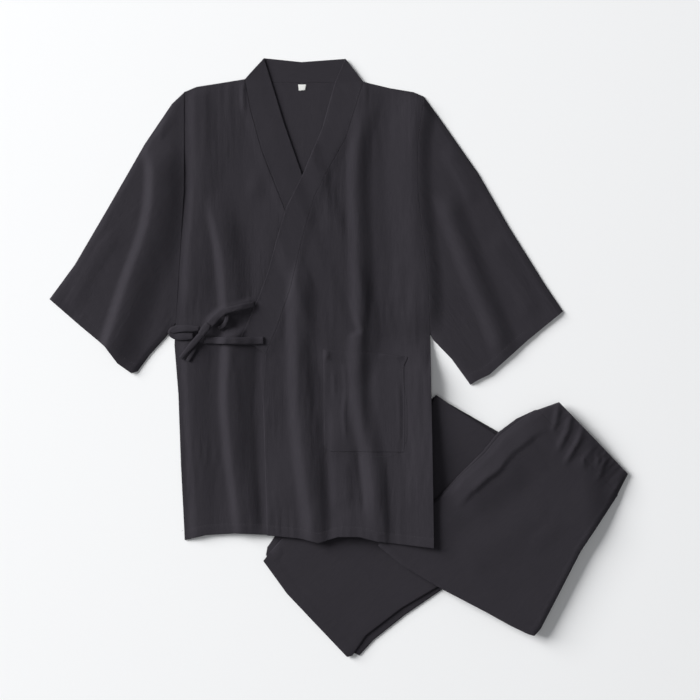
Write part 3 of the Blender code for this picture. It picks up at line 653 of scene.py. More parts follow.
def layersSink(x, y):
    # how the top of the folded layers sinks towards the seat that lies on it
    upper = alongChain(x, y, trousers["layers"][10:13])[0]
    lower = alongChain(x, y, trousers["seatRise"])[0]
    return ease(upper / 70.0) * (0.4 + 0.6 * ease(1.0 - lower / 60.0)) * ease((x - 110.0) / 30.0)


def layersFlat(x, y):
    return layersTop - trousers["layersDip"] * layersSink(x, y)


def onLayers(x, y):
    layers = overStack(x, y, trousers["layers"], layersTop + trousers["gap"], "layers")
    return np.maximum(onLegs(x, y), layers)


def onSeatRight(x, y):
    return onLayers(x, y) + overStack(x, y, seatUnderOutline, plyStep)


def onTrousers(x, y):
    # the jacket spans the ground beside the trousers before it comes down
    legs = onLegs(x, y, "span")
    layers = overStack(x, y, trousers["layers"], layersTop + trousers["gap"], "span")
    seats = overStack(x, y, seatUnderOutline, plyStep, "span") + overStack(x, y, seatOutline, plyStep, "span")
    high = 0.5 * (legs + layers + np.sqrt((legs - layers) ** 2 + 1.0))
    away, side, _ = alongChain(x, y, trousers["seatRise"])
    clear = ease(away / 60.0) * (side < 0.0)
    dip = trousers["jacketDip"] * clear * layersSink(x, y)
    return high + seats - 0.5 * np.exp(-(legs + layers) / 2.0) - dip


# Jacket outlines

jacket = {
    "rightSide": [
        (-240, 412), (-240, 260), (-245, 180), (-253, 52), (-255, 20), (-249, -55), (-245, -165),
        (-239, -283),
    ],
    "leftSide": [
        (132, 405), (122, 327), (123, 260), (130, 190), (138, 125), (142, 36), (143, -55), (145, -165),
        (147, -294),
    ],
    "rightShoulder": [(-146, 432), (-221, 420), (-240, 412)],
    "leftShoulder": [(38, 428), (80, 418), (116, 412), (132, 405)],
    "rightHem": [(-239, -283), (-206, -275), (-161, -272), (-112, -274)],
    "underHem": [(-59, -276), (-4, -275)],
    "leftHem": [(-111, -275), (-59, -280), (-31, -287), (-1, -277), (32, -277), (60, -284), (147, -294)],
    "backHem": [(-239, -283), (-206, -273), (-161, -270), (-59, -272), (32, -274), (60, -281), (147, -294)],
    "underInner": [(-116, 465), (-103, 424), (-85, 365), (-58, 288), (-30, 214), (-2, 140), (33, 40)],
    "underSeam": [(-146, 432), (-137, 384), (-120, 322), (-99, 268), (-72, 201), (-43, 120), (-5, 25)],
    "overInner": [
        (10, 464), (-6, 427), (-26, 356), (-56, 285), (-81, 234), (-97, 182), (-109, 136), (-124, 95),
        (-152, 31),
    ],
    "overSeam": [(38, 428), (11, 341), (-17, 291), (-38, 250), (-56, 187), (-75, 108), (-95, 49), (-113, 6)],
    "collarTop": [(-116, 465), (-58, 459), (10, 464)],
    "neckSeam": [(38, 428), (-6, 427), (-103, 427), (-146, 432)],
    "leftEdge": [(-118, -60), (-111, -275)],
    "rightEdge": [(-5, -60), (-4, -275)],
    "hemDepth": 15.0,
    # points, width towards the light, width away from it, height
    "ridges": [
        ([
            (-210, 275), (-195, 222), (-181, 165), (-173, 85), (-171, 0), (-172, -70), (-165, -150),
            (-158, -205), (-145, -310),
        ], 16, 45, 8.0),
        ([(-54, 165), (-65, 105), (-64, 20), (-62, -60), (-55, -145), (-44, -225), (-35, -320)], 21, 38, 7.5),
        ([
            (44, 440), (39, 385), (30, 327), (28, 244), (33, 105), (29, -20), (31, -70), (42, -120),
            (51, -165), (58, -240), (61, -320),
        ], 20, 26, 6.0),
        ([(93, 165), (94, 120), (93, 72)], 14, 18, 1.6),
        ([(146, 40), (147, -60), (148, -140), (150, -220), (152, -340)], 52, 24, 5.0),
        ([(-148, 440), (-149, 405), (-147, 370)], 4, 6, 2.4),
        ([(40, 436), (41, 405), (36, 370)], 5, 6, 2.0),
        ([(7, 0), (11, -45), (8, -90), (12, -135)], 4, 5, 1.6),
        ([(-19, 16), (-18, -8)], 6, 6, 2.0),
        ([(-8, -10), (-7, -70)], 3, 4, 0.9),
        ([(92, -30), (94, -90), (93, -150)], 4, 4, 0.9),
        ([(-12, 165), (-10, 100), (-8, 30)], 6, 9, 1.2),
        ([(-79, 10), (-76, -40), (-80, -80)], 4, 5, 1.2),
        ([(6, -150), (6, -190), (8, -240)], 30, 22, 2.6),
        ([(-110, 350), (-118, 290), (-140, 240)], 20, 24, 1.2),
        ([(60, 410), (50, 370), (44, 330)], 14, 14, 1.0),
        ([(-124, 90), (-150, 82), (-176, 74), (-212, 42)], 12, 22, 6.6),
        ([(-223, 440), (-222, 360), (-221, 260), (-228, 170), (-235, 60)], 17, 46, 3.0),
        ([(-236, 70), (-231, -40), (-227, -120), (-222, -200), (-218, -320)], 15, 40, 3.0),
    ],
    "dips": [
        ([(48, 110), (45, 0), (46, -110), (52, -150)], 14, 14, 1.2),
        ([(84, -150), (84, -210), (86, -320)], 16, 10, 2.6),
        ([(-20, -70), (-17, -190), (-14, -320)], 14, 12, 1.4),
        ([(-122, 60), (-124, -60), (-120, -190), (-114, -300)], 16, 8, 1.8),
        ([(28, -135), (34, -185), (40, -245)], 7, 6, 2.0),
        ([(98, -30), (99, -90), (98, -150)], 3, 3, 1.2),
        ([(105, -50), (106, -150)], 3, 3, 0.8),
        ([(-14, 0), (-13, -75)], 3, 3, 0.9),
        ([(-134, 60), (-154, 52), (-176, 46), (-200, 40)], 15, 16, 6.5),
    ],
    # the high seam of the left sleeve, shared by the body and the sleeve
    "seamCrest": [
        ([(136, 440), (128, 380), (121, 327), (122, 260), (129, 190), (137, 125), (140, 20)], 58, 26, 6.6),
    ],
    # soft unevenness: width, length, height, shift and seed
    "unevenness": [(47.0, 160.0, 0.9, 0.0, 3), (19.0, 95.0, 0.5, 7.0, 4)],
    # how much of a fold is left on the collar bands, at the body's edges and at the neck opening
    "bandCalm": 0.3,
    "edgeCalm": 0.45,
    "neckCalm": 0.35,
}
underBand = jacket["underInner"] + jacket["underSeam"][::-1]
overBand = jacket["overInner"] + jacket["overSeam"][::-1]
backOutline = (
    jacket["backHem"] + jacket["leftSide"][::-1][1:] + jacket["leftShoulder"][::-1][1:]
    + jacket["neckSeam"][1:] + jacket["rightShoulder"][1:] + jacket["rightSide"][1:-1]
)
rightFront = (
    jacket["rightHem"] + jacket["underHem"] + jacket["rightEdge"][::-1][1:]
    + jacket["underSeam"][::-1] + jacket["rightShoulder"][1:] + jacket["rightSide"][1:-1]
)
leftFront = (
    jacket["leftHem"] + jacket["leftSide"][::-1][1:] + jacket["leftShoulder"][::-1][1:]
    + jacket["overSeam"][1:] + jacket["leftEdge"][:-1]
)


def frontRelief(x, y):
    # soft folds and puckers that both fronts and the collar share, so that they lie close on each other
    calm = np.zeros(np.shape(x))
    for band in (underBand, overBand):
        away = alongChain(x, y, band, True)[0]
        depth = np.where(insideOutline(x, y, band), away, -away)
        calm = np.maximum(calm, ease((depth + 4.0) / 10.0))
    ridges = creaseHeight(x, y, jacket["ridges"])
    dips = creaseHeight(x, y, jacket["dips"])
    soft = np.zeros(np.shape(x))
    for wide, tall, height, shift, seed in jacket["unevenness"]:
        soft += height * softNoise(x / wide + shift, y / tall, seed)
    patch = ease(1.3 * softNoise(x / 60.0 + 3.0, y / 85.0, 6) + 0.25)
    fine = (0.08 + 0.42 * patch) * softNoise(x / 4.6 + y / 400.0, y / 36.0, 5)
    high = 1.0 + ridges * (1.0 - (1.0 - jacket["bandCalm"]) * calm) - dips * (1.0 - calm)
    high += (soft + fine) * (1.0 - 0.8 * calm)
    high = 0.5 * (high + np.sqrt(high * high + 0.3))
    right = ease(alongChain(x, y, jacket["rightSide"])[0] / 14.0)
    # below the armhole the left edge keeps its folds
    left = np.maximum(ease(alongChain(x, y, jacket["leftSide"])[0] / 9.0), ease((10.0 - y) / 40.0))
    shoulders = [alongChain(x, y, jacket[part])[0] for part in ("rightShoulder", "leftShoulder")]
    top = ease(np.minimum(*shoulders) / 12.0)
    neck = ease(alongChain(x, y, jacket["neckSeam"])[0] / 14.0)
    crest = creaseHeight(x, y, jacket["seamCrest"]) * top * (1.0 - 0.5 * calm)
    opening = alongChain(x, y, jacket["underInner"][:5])[0]
    low = jacket["neckCalm"] + (1.0 - jacket["neckCalm"]) * ease(opening / 22.0)
    return high * low * (jacket["edgeCalm"] + (1.0 - jacket["edgeCalm"]) * right * left * top * neck) + crest


def onBack(x, y):
    return onTrousers(x, y) + cloth["wall"] + cloth["gap"] + frontRelief(x, y)


def onUnderFront(x, y):
    return (
        onBack(x, y)
        + overStack(x, y, rightFront, cloth["wall"] + cloth["gap"])
        + overStack(x, y, underBand, cloth["band"] + cloth["gap"])
    )


def onOverFront(x, y):
    return onUnderFront(x, y) + cloth["wall"] + cloth["gap"]


def onCollar(x, y):
    return onUnderFront(x, y) + overStack(x, y, overBand, cloth["band"] + cloth["gap"])


# A turned hem is a little thicker, with a sewn groove at its depth
turnedHem = {"high": 0.3, "step": 4.0, "groove": 0.15, "grooveWidth": 1.2}


def hemProfile(x, y, hem, depth, turned=turnedHem["high"]):
    away = alongChain(x, y, hem)[0] - depth
    raised = turned * (1.0 - ease(away / turnedHem["step"] + 0.5))
    return raised - turnedHem["groove"] * np.exp(-(away / turnedHem["grooveWidth"]) ** 2)


def hemLines(hem, depth):
    wide = turnedHem["grooveWidth"]
    return [drawnIn(hem, depth + shift, False) for shift in (-wide, 0.0, wide)]


def layPanel(name, outline, bottom, look, nodes, hems, freeEdges, grain=0.0, wall=cloth["wall"]):
    # one thickness of cloth, rounded at its free edges, with turned hems
    inner = drawnIn(outline, cloth["seam"] / 2.0)
    lines = [line for hem, depth in hems for line in hemLines(hem, depth)]
    bm = cutCloth(inner, (0.5, 1.5), lines)
    verts = list(bm.verts)
    x, y = planeOf(verts)
    height = bottom(x, y) + wall
    for hem, depth in hems:
        height += hemProfile(x, y, hem, depth)
    edge = np.full(x.shape, layout["far"])
    for chain in freeEdges:
        edge = np.minimum(edge, alongChain(x, y, chain)[0])
    height -= cloth["edgeDrop"] * wall * (1.0 - roundEdge(edge - 0.15, cloth["edgeRound"]))
    raiseTo(verts, height)
    return makePiece(name, bm, look, nodes, wall, grain)


# Jacket

print("stage: jacket")


def besideBand(x, y, seam):
    # a front comes up to the top of the collar band that is sewn to it
    return (cloth["band"] - cloth["wall"]) * (1.0 - ease(alongChain(x, y, seam)[0] / 14.0))


def rightBottom(x, y):
    return onBack(x, y) + besideBand(x, y, jacket["underSeam"])


def leftBottom(x, y):
    return onUnderFront(x, y) + besideBand(x, y, jacket["overSeam"])


back = layPanel(
    "jacketBack", backOutline, onTrousers, jacketGauze, ["jacket_back"],
    [(jacket["backHem"], jacket["hemDepth"])], [jacket["backHem"]],
)

rightFrontHem = jacket["rightHem"] + jacket["underHem"]
frontRight = layPanel(
    "jacketFrontRight", rightFront, rightBottom, jacketGauze, ["jacket_front_right"],
    [(rightFrontHem, jacket["hemDepth"])], [rightFrontHem, jacket["rightEdge"]],
)

frontLeft = layPanel(
    "jacketFrontLeft", leftFront, leftBottom, jacketGauze, ["jacket_front_left"],
    [(jacket["leftHem"], jacket["hemDepth"])], [jacket["leftHem"], jacket["leftEdge"]],
)


def layBand(name, outline, seam, bottom, node, grain):
    # a stretch of the collar band: two plies, folded along its free edge
    inner = drawnIn(outline, cloth["seam"] / 2.0)
    bm = pressTube(inner, [inner], cloth["band"], bottom, None, True, seam)
    piece = makePiece(name, bm, collarGauze, [node], 0.0, grain)


layBand(
    "collarRight", underBand, jacket["underSeam"], onBack, "jacket_collar_right",
    -19.0,
)
layBand(
    "collarLeft", overBand, jacket["overSeam"], onUnderFront, "jacket_collar_left",
    20.0,
)
backBand = jacket["collarTop"] + jacket["neckSeam"]
collarBack = layPanel(
    "collarBack", backBand, onTrousers, collarGauze, ["jacket_collar_back"], [], [jacket["collarTop"]], 90.0,
)

# Patch pocket, with its turned top edge a little open at the outer corner
pocket = {
    "outline": [(-24, 13), (72, 6), (107, 1), (101, -13), (101, -146), (-13, -145), (-23, -135)],
    "top": [(-24, 13), (72, 6), (107, 1)],
    "sides": [(107, 1), (101, -13), (101, -146), (-13, -145), (-23, -135), (-24, 13)],
    "topDepth": 16.0,
    "wall": 0.4,
    "pressed": 0.35,
    "gapeAt": [(72, 6), (92, 3)],
    "gape": 1.5,
    "puff": 0.5,
}


def pocketBottom(x, y):
    gape = pocket["gape"] * (1.0 - ease(alongChain(x, y, pocket["gapeAt"])[0] / 11.0))
    puff = pocket["puff"] * ease(alongChain(x, y, pocket["sides"])[0] / 22.0)
    return onOverFront(x, y) - pocket["pressed"] + gape + puff


pocketPiece = layPanel(
    "patchPocket", pocket["outline"], pocketBottom, jacketGauze, ["jacket_pocket"],
    [(pocket["top"], pocket["topDepth"])], [pocket["top"], pocket["sides"]], 0.0, pocket["wall"],
)

# Bare label below the neck seam
label = {"outline": [(-63, 424), (-50.5, 424), (-52, 415), (-62, 414)], "thick": 0.8, "gap": 0.2}
labelPiece = layPanel(
    "neckLabel", label["outline"], topOf(onTrousers, cloth["wall"], label["gap"]), labelTape,
    ["jacket_neck_label"], [], [label["outline"]], 0.0, label["thick"],
)

# Sleeves, folded along the upper edge and closed under the arm
print("stage: sleeves")
sleeves = {
    "Right": {
        "fold": [(-259, 394), (-301, 332), (-359, 231), (-410, 144), (-449, 91)],
        "cuff": [(-403, 51), (-362, 17), (-343, -9), (-322, -24), (-312, -21)],
        "underarm": [(-292, 6), (-269, 31)],
        "armhole": jacket["rightSide"][:4],
        "ridges": [
            ([
                (-300, 345), (-292, 318), (-286, 288), (-289, 232), (-301, 182), (-323, 122), (-357, 18),
                (-372, -30),
            ], 18, 58, 9.4),
            ([(-262, 380), (-275, 350), (-280, 320)], 12, 14, 1.6),
            ([(-340, 200), (-378, 150), (-420, 70)], 18, 22, 1.2),
        ],
        "crest": [],
        "inward": 1.0,
        "grain": -33.0,
        "flat": (0.61, 0.36),
        "node": "jacket_sleeve_right",
    },
    "Left": {
        "fold": [(157, 371), (217, 285), (264, 203), (321, 112), (348, 72)],
        "cuff": [(294, 28), (234, -26), (217, -34), (204, -42)],
        "underarm": [(175, -2), (147, 27)],
        "armhole": jacket["leftSide"][:6],
        "ridges": [
            ([(155, 262), (166, 238), (187, 182), (209, 122), (236, 60), (262, -10)], 22, 30, 5.6),
            ([(160, 330), (185, 290), (215, 235)], 16, 22, 1.8),
            ([(230, 190), (268, 130), (305, 60)], 22, 24, 1.6),
        ],
        "crest": jacket["seamCrest"],
        "inward": -1.0,
        "grain": 35.0,
        "flat": (0.6, 0.36),
        "node": "jacket_sleeve_left",
    },
    "loft": 3.0,
    "cuffDepth": 14.0,
    "cuffTurned": 0.5,
    "slant": 0.6,
    "rise": 1.4,
    "foldIn": 0.15,
}


def sleeveRelief(plan):
    def height(x, y):
        across, along = x + y * sleeves["slant"], y - x * sleeves["slant"]
        soft = sleeves["rise"] + 0.5 * softNoise(across / 42.0, along / 120.0, 9)
        soft *= ease(alongChain(x, y, plan["armhole"])[0] / 24.0)
        fine = 0.2 + 0.12 * softNoise(across / 8.0, along / 40.0, 10)
        hem = hemProfile(x, y, plan["cuff"], sleeves["cuffDepth"], sleeves["cuffTurned"])
        return creaseHeight(x, y, plan["ridges"]) + soft + fine + hem + creaseHeight(x, y, plan["crest"])
    return height


for side in ("Right", "Left"):
    plan = sleeves[side]
    outline = plan["fold"] + plan["cuff"] + plan["underarm"] + plan["armhole"][::-1]
    outline = drawnIn(outline, cloth["seam"] / 2.0)
    upperEdge = [plan["armhole"][0]] + plan["fold"]
    lowerEdge = [plan["cuff"][-1]] + plan["underarm"] + [plan["armhole"][-1]]
    folds = [drawnIn(edge, plan["inward"] * sleeves["foldIn"], False) for edge in (upperEdge, lowerEdge)]
    bm = pressTube(outline, folds, sleeves["loft"], onFloor, sleeveRelief(plan))
    piece = makePiece("sleeve" + side, bm, jacketGauze, [plan["node"]], cloth["wall"], plan["grain"])

# Trousers
print("stage: trousers")


def legRelief(seed, hem):
    def height(x, y):
        soft = 0.35 + 0.35 * softNoise((x - y) / 60.0, (x + y) / 90.0, seed)
        return soft + hemProfile(x, y, hem, trousers["hemDepth"], 0.4)
    return height


def openLeg(name, outline, hem, base, seed, node):
    # a leg's end: a flat tube, folded along its sides and open at the hem
    inner = drawnIn(outline, cloth["seam"] / 2.0)
    count = len(outline)
    around = range(outline.index(hem[-1]), outline.index(hem[0]) + count + 1)
    closed = [inner[index % count] for index in around]
    bm = pressTube(inner, [closed], trousers["ply"] - 0.2, base, legRelief(seed, hem))
    piece = makePiece(name, bm, trouserGauze, [node], cloth["wall"], trousers["grain"])
    return piece


def foldStack(name, outline, bottom, top, plies, node, relief=None, seam=None):
    # plies that lie folded on each other, sewn up as one piece
    bm = pressStack(outline, bottom, top, plies, relief, seam)
    piece = makePiece(name, bm, trouserGauze, [node], 0.0, trousers["grain"])
    return piece


openLeg("trousersLegRight", trousers["legUnder"], trousers["hemUnder"], onFloor, 31, "trousers_leg_right_end")
legLeft = openLeg(
    "trousersLegLeft", trousers["legUpper"], trousers["hemUpper"], onLegUnder, 32, "trousers_leg_left_end",
)
foldedLayers = foldStack(
    "trousersFoldedLayers", trousers["layers"], onLegs, layersFlat, 4,
    "trousers_folded_layers",
)
seatRight = foldStack(
    "trousersSeatRight", seatUnderOutline, onLayers, topOf(onLayers, trousers["ply"], -0.1), 2,
    "trousers_seat_right", None, waistCornerIndex,
)

# Gathers run from the waist down the seat: points, width towards the light, width away from it, height
seat = {
    "gathers": [
        ([(341, -58), (337, -92), (328, -122)], 8, 6, 2.0),
        ([(360, -78), (354, -110), (334, -152)], 9, 7, 2.4),
        ([(379, -100), (370, -126), (345, -170)], 6, 8, 2.8),
        ([(396, -122), (386, -146), (366, -178)], 9, 10, 1.0),
        ([(384, -144), (378, -160), (383, -176)], 5, 4, 1.8),
        ([(396, -143), (401, -160), (394, -177)], 4, 5, 1.8),
        ([(416, -142), (410, -164), (398, -196)], 10, 5, 1.9),
        ([(452, -172), (440, -196), (424, -232)], 26, 16, 2.6),
    ],
    "waves": [
        ([(150, -262), (215, -215), (290, -165)], 30, 34, 0.9),
        ([(190, -330), (250, -280), (330, -225)], 40, 44, 1.0),
        ([(290, -300), (320, -270), (350, -240)], 26, 28, 0.8),
    ],
    "puckers": 15,
    "puckerHigh": 0.55,
    # the doubled edge of the folds, which shows through
    "borderHigh": 0.7,
    "borderWide": 7.0,
}

# Waistband: elastic casing, gathered, open at the waist, wider at its seam
waist = {
    "start": (340.6, -68.4),
    "end": (448.6, -180.4),
    "depth": 32.0,
    "flareUpper": 14.5,
    "flareLower": 10.4,
    "loft": 6.2,
    "hem": 4.5,
    "groove": 1.3,
    "wall": 1.2,
}
waistLength = math.dist(waist["start"], waist["end"])
waistAlong = tuple((b - a) / waistLength for a, b in zip(waist["start"], waist["end"]))
waistInward = (waistAlong[1], -waistAlong[0])


def waistPlace(x, y):
    # reach along the waist and depth below it
    dx, dy = x - waist["start"][0], y - waist["start"][1]
    return dx * waistAlong[0] + dy * waistAlong[1], dx * waistInward[0] + dy * waistInward[1]


def waistCorner(reach, depth):
    ways = zip(waist["start"], waistAlong, waistInward)
    return tuple(start + along * reach + inward * depth for start, along, inward in ways)


def seatRelief(x, y):
    rise, _, place = alongChain(x, y, [waist["start"]] + trousers["waistSeam"][1:] + trousers["seatRise"])
    width = trousers["bandWidth"] * (1.0 + 0.09 * softNoise(place * 16.0, np.zeros(np.shape(x)), 47))
    crest = np.clip(rise / width, 0.0, 1.0) ** 0.8
    uneven = 0.8 + 0.35 * softNoise(place * 13.0, rise / 40.0, 45)
    band = trousers["bandHeight"] * uneven * crest * (1.0 - ease((rise - width) / 9.0))
    band += trousers["bandHollow"] * crest * (1.0 - ease((rise - width) / 62.0))
    band *= ease((0.8 - place) / 0.12) * ease((place - 0.06) / 0.24)
    soft = 0.4 + 0.35 * softNoise((x - y) / 70.0, (x + y) / 80.0, 41)
    reach, depth = waistPlace(x, y)
    fan = 0.5 + 0.5 * np.sin(2.0 * np.pi * seat["puckers"] * reach / waistLength + 1.4 * np.sin(reach / 17.0))
    fan *= seat["puckerHigh"] * (1.0 - ease((depth - 6.0) / 46.0))
    fan *= 1.0 + softNoise(reach / 23.0, depth / 90.0, 43)
    grooves = ((0.4, waist["hem"]), (0.12, waist["depth"]))
    lines = sum(deep * np.exp(-((depth - middle) / waist["groove"]) ** 2) for deep, middle in grooves)
    edge = alongChain(x, y, trousers["seatFold"] + trousers["seatOutseam"])[0]
    border = seat["borderHigh"] * (1.0 - ease((edge - seat["borderWide"]) / 3.0))
    soft += border * ease((depth - waist["depth"]) / 30.0)
    return band + soft + fan - lines + creaseHeight(x, y, seat["gathers"]) + creaseHeight(x, y, seat["waves"])


foldStack(
    "trousersSeatLeft", seatOutline, onSeatRight, topOf(onSeatRight, trousers["ply"], -0.1), 2,
    "trousers_seat_left", seatRelief, waistCornerIndex,
)

seamDepth = waist["depth"] - cloth["seam"] / 2.0
waistOutline = [
    waistCorner(0.0, 0.15),
    waistCorner(waistLength, 0.15),
    waistCorner(waistLength + waist["flareLower"], seamDepth),
    waistCorner(-waist["flareUpper"], seamDepth),
]
waistSides = [[waistOutline[0], waistOutline[3]], [waistOutline[1], waistOutline[2]]]
waistband = makePiece(
    "trousersWaistband", pressTube(waistOutline, waistSides, waist["loft"], onLayers, seatRelief),
    trouserGauze, ["trousers_waistband"], waist["wall"], trousers["grain"],
)

# Ties: each row is a station's place, the tie's width there and its height over the cloth below
print("stage: ties")
ties = {
    "tieInnerStrap": ("tie_inner_strap", [
        (-129.5, 82.5, 10, -2.1), (-146, 79, 10, 0.8), (-160, 76, 9.5, 3.0), (-174, 72.5, 10, 3.6),
        (-184, 67, 11.5, 4.0), (-195, 56, 12, 4.2), (-204, 46, 11.5, 4.4),
    ]),
    "tieOuterStrap": ("tie_outer_strap", [
        (-116, 27, 12.5, 0.0), (-132, 26.3, 12, 0.0), (-152, 26, 11.5, 0.0), (-172, 26.5, 11, 0.0),
        (-209, 27, 11, 0.0),
    ]),
    "tieShortEnd": ("tie_short_end", [
        (-173.5, 76, 6.5, 0.0), (-173, 60, 7, 0.0), (-177.5, 51, 7, 0.0), (-186, 45, 6.5, 0.0),
    ]),
    "tieKnot": ("tie_knot", [(-201, 53, 9, 7.2), (-206.5, 45, 12, 7.2), (-213, 36, 11, 7.2)]),
    "tieLoop": ("tie_loop", [
        (-215.5, 45, 7, 4.4), (-228, 45.2, 10, 4.4), (-244, 45.2, 11, 3.4), (-255, 43.2, 11.8, 2.4),
        (-260.5, 39.3, 9.4, 1.4), (-255, 35, 11.8, 0.8), (-244, 33.2, 12.5, 0.3), (-232, 33.7, 11.5, 0.3),
        (-225, 34.2, 10.5, 0.3),
    ]),
    "tieTailUpper": ("tie_tail_upper", [
        (-211.5, 37.5, 9, 4.4), (-224, 23, 10, 4.2), (-233, 13, 8, 3.2), (-245, -1, 6.5, 0.8),
    ]),
    "tieTailLower": ("tie_tail_lower", [
        (-220, 27, 8, 0.0), (-224, 14, 8, 0.0), (-229, 4, 7, 0.0), (-234, -5, 6, 0.0),
    ]),
}
strap = {
    "thick": 2.9, "step": 1.6, "lanes": 12, "endRound": 1.6, "crown": 2.5, "pucker": 0.22, "wave": 0.31,
    "evenOver": 3,
}


def overNeighbours(values, blend):
    # each station's value, blended with those of the stations beside it
    reach = strap["evenOver"]
    padded = np.pad(values, reach, mode="edge")
    return blend([padded[shift:shift + len(values)] for shift in range(2 * reach + 1)], axis=0)


def sewStrap(name, node, rows):
    # a flat sewn tube along a smooth line, closed at both ends
    stations = []
    for index in range(len(rows) - 1):
        steps = max(2, round(math.dist(rows[index][:2], rows[index + 1][:2]) / strap["step"]))
        stations += curveFrom(rows, index, steps)
    stations = np.array(stations + [rows[-1]], float)
    count, lanes = len(stations), strap["lanes"]
    ahead = np.gradient(stations[:, :2], axis=0)
    ahead /= np.linalg.norm(ahead, axis=1)[:, None]
    run = np.concatenate([[0.0], np.cumsum(np.linalg.norm(np.diff(stations[:, :2], axis=0), axis=1))])
    across = np.linspace(-1.0, 1.0, lanes + 1)
    ground = np.full(count, -layout["far"])
    for share in (-1.0, -0.5, 0.0, 0.5, 1.0):
        gx = stations[:, 0] - ahead[:, 1] * share * stations[:, 2] / 2.0
        gy = stations[:, 1] + ahead[:, 0] * share * stations[:, 2] / 2.0
        ground = np.maximum(ground, onCollar(gx, gy))
    ground = overNeighbours(overNeighbours(ground, np.max), np.mean) + stations[:, 3]
    bm = bmesh.new()
    uv = bm.loops.layers.uv.new("cut")
    bmesh.ops.create_grid(bm, x_segments=count - 1, y_segments=lanes, size=1.0)

    def stationOf(vert):
        return round((vert.co.x + 1.0) / 2.0 * (count - 1)), round((vert.co.y + 1.0) / 2.0 * lanes)

    for face in bm.faces:
        for loop in face.loops:
            index, lane = stationOf(loop.vert)
            loop[uv].uv = (across[lane] * stations[index, 2] / 2.0 * layout["mm"], run[index] * layout["mm"])
    upper, lower = doubled(bm)
    wrinkle = np.random.RandomState(len(rows) * 7 + len(name)).rand(64)
    for verts, sign in ((upper, 1.0), (lower, -1.0)):
        for vert in verts:
            index, lane = stationOf(vert)
            px, py, width = stations[index, :3]
            share = math.sin(math.pi / 2.0 * across[lane])
            ends = min(run[index], run[-1] - run[index]) / strap["endRound"]
            end = math.sqrt(max(0.0, 1.0 - (1.0 - min(1.0, ends)) ** 2))
            crown = math.sqrt(max(0.0, 1.0 - abs(share) ** strap["crown"])) * end
            pucker = math.sin(run[index] * strap["wave"] + wrinkle[lane] * 2.6) * (1.0 - share * share) * end
            height = ground[index] + strap["thick"] / 2.0 * (1.0 + sign * crown)
            if sign > 0.0:
                height += strap["pucker"] * pucker
            out = share * width / 2.0
            vert.co = (px - ahead[index, 1] * out, py + ahead[index, 0] * out, height)
    bmesh.ops.remove_doubles(bm, verts=bm.verts, dist=0.01)
    piece = makePiece(name, bm, collarGauze, [node])
    width = round(float(np.mean(stations[:, 2])) * layout["mm"], 4)


for name, (node, rows) in ties.items():
    sewStrap(name, node, rows)

# Stitches along hems and seams
print("stage: stitches")
stitch = {"pitch": 4.2, "long": 2.7, "radius": 0.24, "sunk": 0.05}


def sewLine(bm, chain, inset, height):
    # stitches at a distance from a chain, on its left where the inset is positive
    chain = drawnIn(chain, inset, False)
    chain = smoothChain(chain, 4) if len(chain) > 2 else chain
    run = 0.0
    spots = []
    for (ax, ay), (bx, by) in links(chain):
        length = math.dist((ax, ay), (bx, by))
        while run < length:
            share = run / length
            spots.append((ax + (bx - ax) * share, ay + (by - ay) * share, math.atan2(by - ay, bx - ax)))
            run += stitch["pitch"]
        run -= length
    size = Matrix.Diagonal((stitch["long"] / 2.0, stitch["radius"], stitch["radius"], 1.0))
    heights = height(np.array([spot[0] for spot in spots]), np.array([spot[1] for spot in spots]))
    for (px, py, turn), z in zip(spots, heights):
        place = Matrix.Translation((px, py, z)) @ Matrix.Rotation(turn, 4, "Z") @ size
        bmesh.ops.create_uvsphere(bm, u_segments=6, v_segments=4, radius=1.0, matrix=place)


threads = bmesh.new()
for chain, inset, top in (
    (jacket["leftHem"], jacket["hemDepth"], topOf(onUnderFront, cloth["wall"], -stitch["sunk"])),
    (jacket["rightHem"], jacket["hemDepth"], topOf(onBack, cloth["wall"], -stitch["sunk"])),
    (jacket["leftEdge"], 4.0, topOf(onUnderFront, cloth["wall"])),
    (pocket["sides"], -2.5, topOf(pocketBottom, pocket["wall"])),
    (pocket["top"], -pocket["topDepth"], topOf(pocketBottom, pocket["wall"], -2.0 * stitch["sunk"])),
    (jacket["overSeam"], -2.6, topOf(onUnderFront, cloth["band"])),
    (jacket["underSeam"][:5], 2.6, topOf(onBack, cloth["band"])),
):
    sewLine(threads, chain, inset, top)
for side in ("Right", "Left"):
    plan = sleeves[side]
    top = topOf(sleeveRelief(plan), sleeves["loft"], 0.02)
    sewLine(threads, plan["cuff"], plan["inward"] * sleeves["cuffDepth"], top)
makePiece("stitches", threads, threadLook, [])

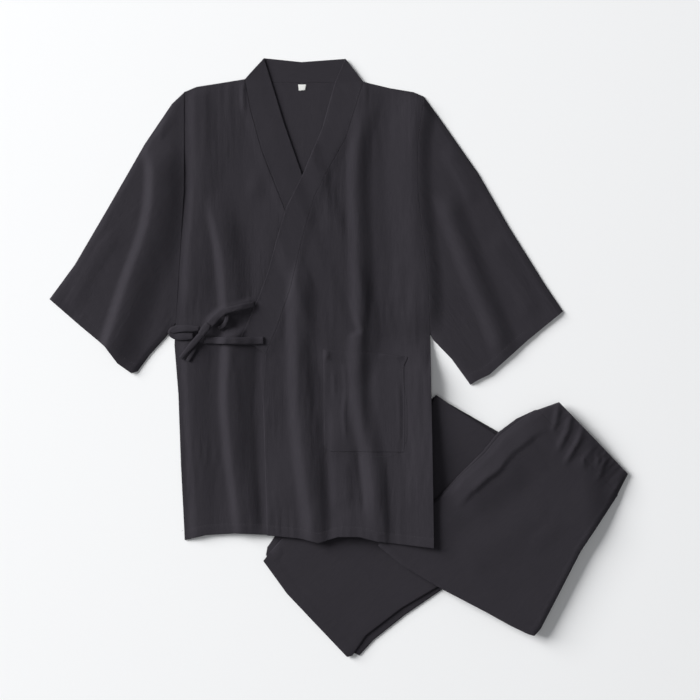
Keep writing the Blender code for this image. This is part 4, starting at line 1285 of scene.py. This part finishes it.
# Floor, light and camera: places, sizes in metres and powers in watts
print("stage: floor, light and camera")
studio = {
    "floor": (0.895, 0.9, 0.905, 1.0),
    "sky": (0.93, 0.96, 1.0, 1.0),
    "skyStrength": 0.15,
    "lights": [("window", (-9.9, 4.8, 5.4), 7.0, 2770.0), ("fill", (0.6, -0.8, 5.0), 4.0, 38.0)],
}


def addFloor():
    bm = bmesh.new()
    bmesh.ops.create_grid(bm, x_segments=2, y_segments=2, size=6.0)
    mesh = bpy.data.meshes.new("floor")
    bm.to_mesh(mesh)
    bm.free()
    thing = bpy.data.objects.new("floor", mesh)
    bpy.context.scene.collection.objects.link(thing)
    material = bpy.data.materials.new("pale floor")
    material.use_nodes = True
    shader = material.node_tree.nodes["Principled BSDF"]
    shader.inputs["Base Color"].default_value = studio["floor"]
    shader.inputs["Roughness"].default_value = 0.9
    shader.inputs["Specular IOR Level"].default_value = 0.1
    mesh.materials.append(material)


def addLight(name, place, size, power):
    data = bpy.data.lights.new(name, "AREA")
    data.shape = "SQUARE"
    data.size = size
    data.energy = power
    thing = bpy.data.objects.new(name, data)
    thing.location = place
    thing.rotation_euler = (-Vector(place)).to_track_quat("-Z", "Y").to_euler()
    bpy.context.scene.collection.objects.link(thing)


def addCamera():
    data = bpy.data.cameras.new("camera")
    data.sensor_width = camera["sensor"]
    data.sensor_fit = "HORIZONTAL"
    data.lens = camera["sensor"] * (camera["height"] - camera["lookAt"]) / camera["frame"]
    thing = bpy.data.objects.new("camera", data)
    thing.location = [camera[axis] * layout["mm"] for axis in ("x", "y", "height")]
    bpy.context.scene.collection.objects.link(thing)
    bpy.context.scene.camera = thing


def addSky():
    world = bpy.data.worlds.new("studio")
    world.use_nodes = True
    background = world.node_tree.nodes["Background"]
    background.inputs["Color"].default_value = studio["sky"]
    background.inputs["Strength"].default_value = studio["skyStrength"]
    bpy.context.scene.world = world


addFloor()
addSky()
for row in studio["lights"]:
    addLight(*row)
bpy.context.scene.view_settings.view_transform = "Standard"
addCamera()
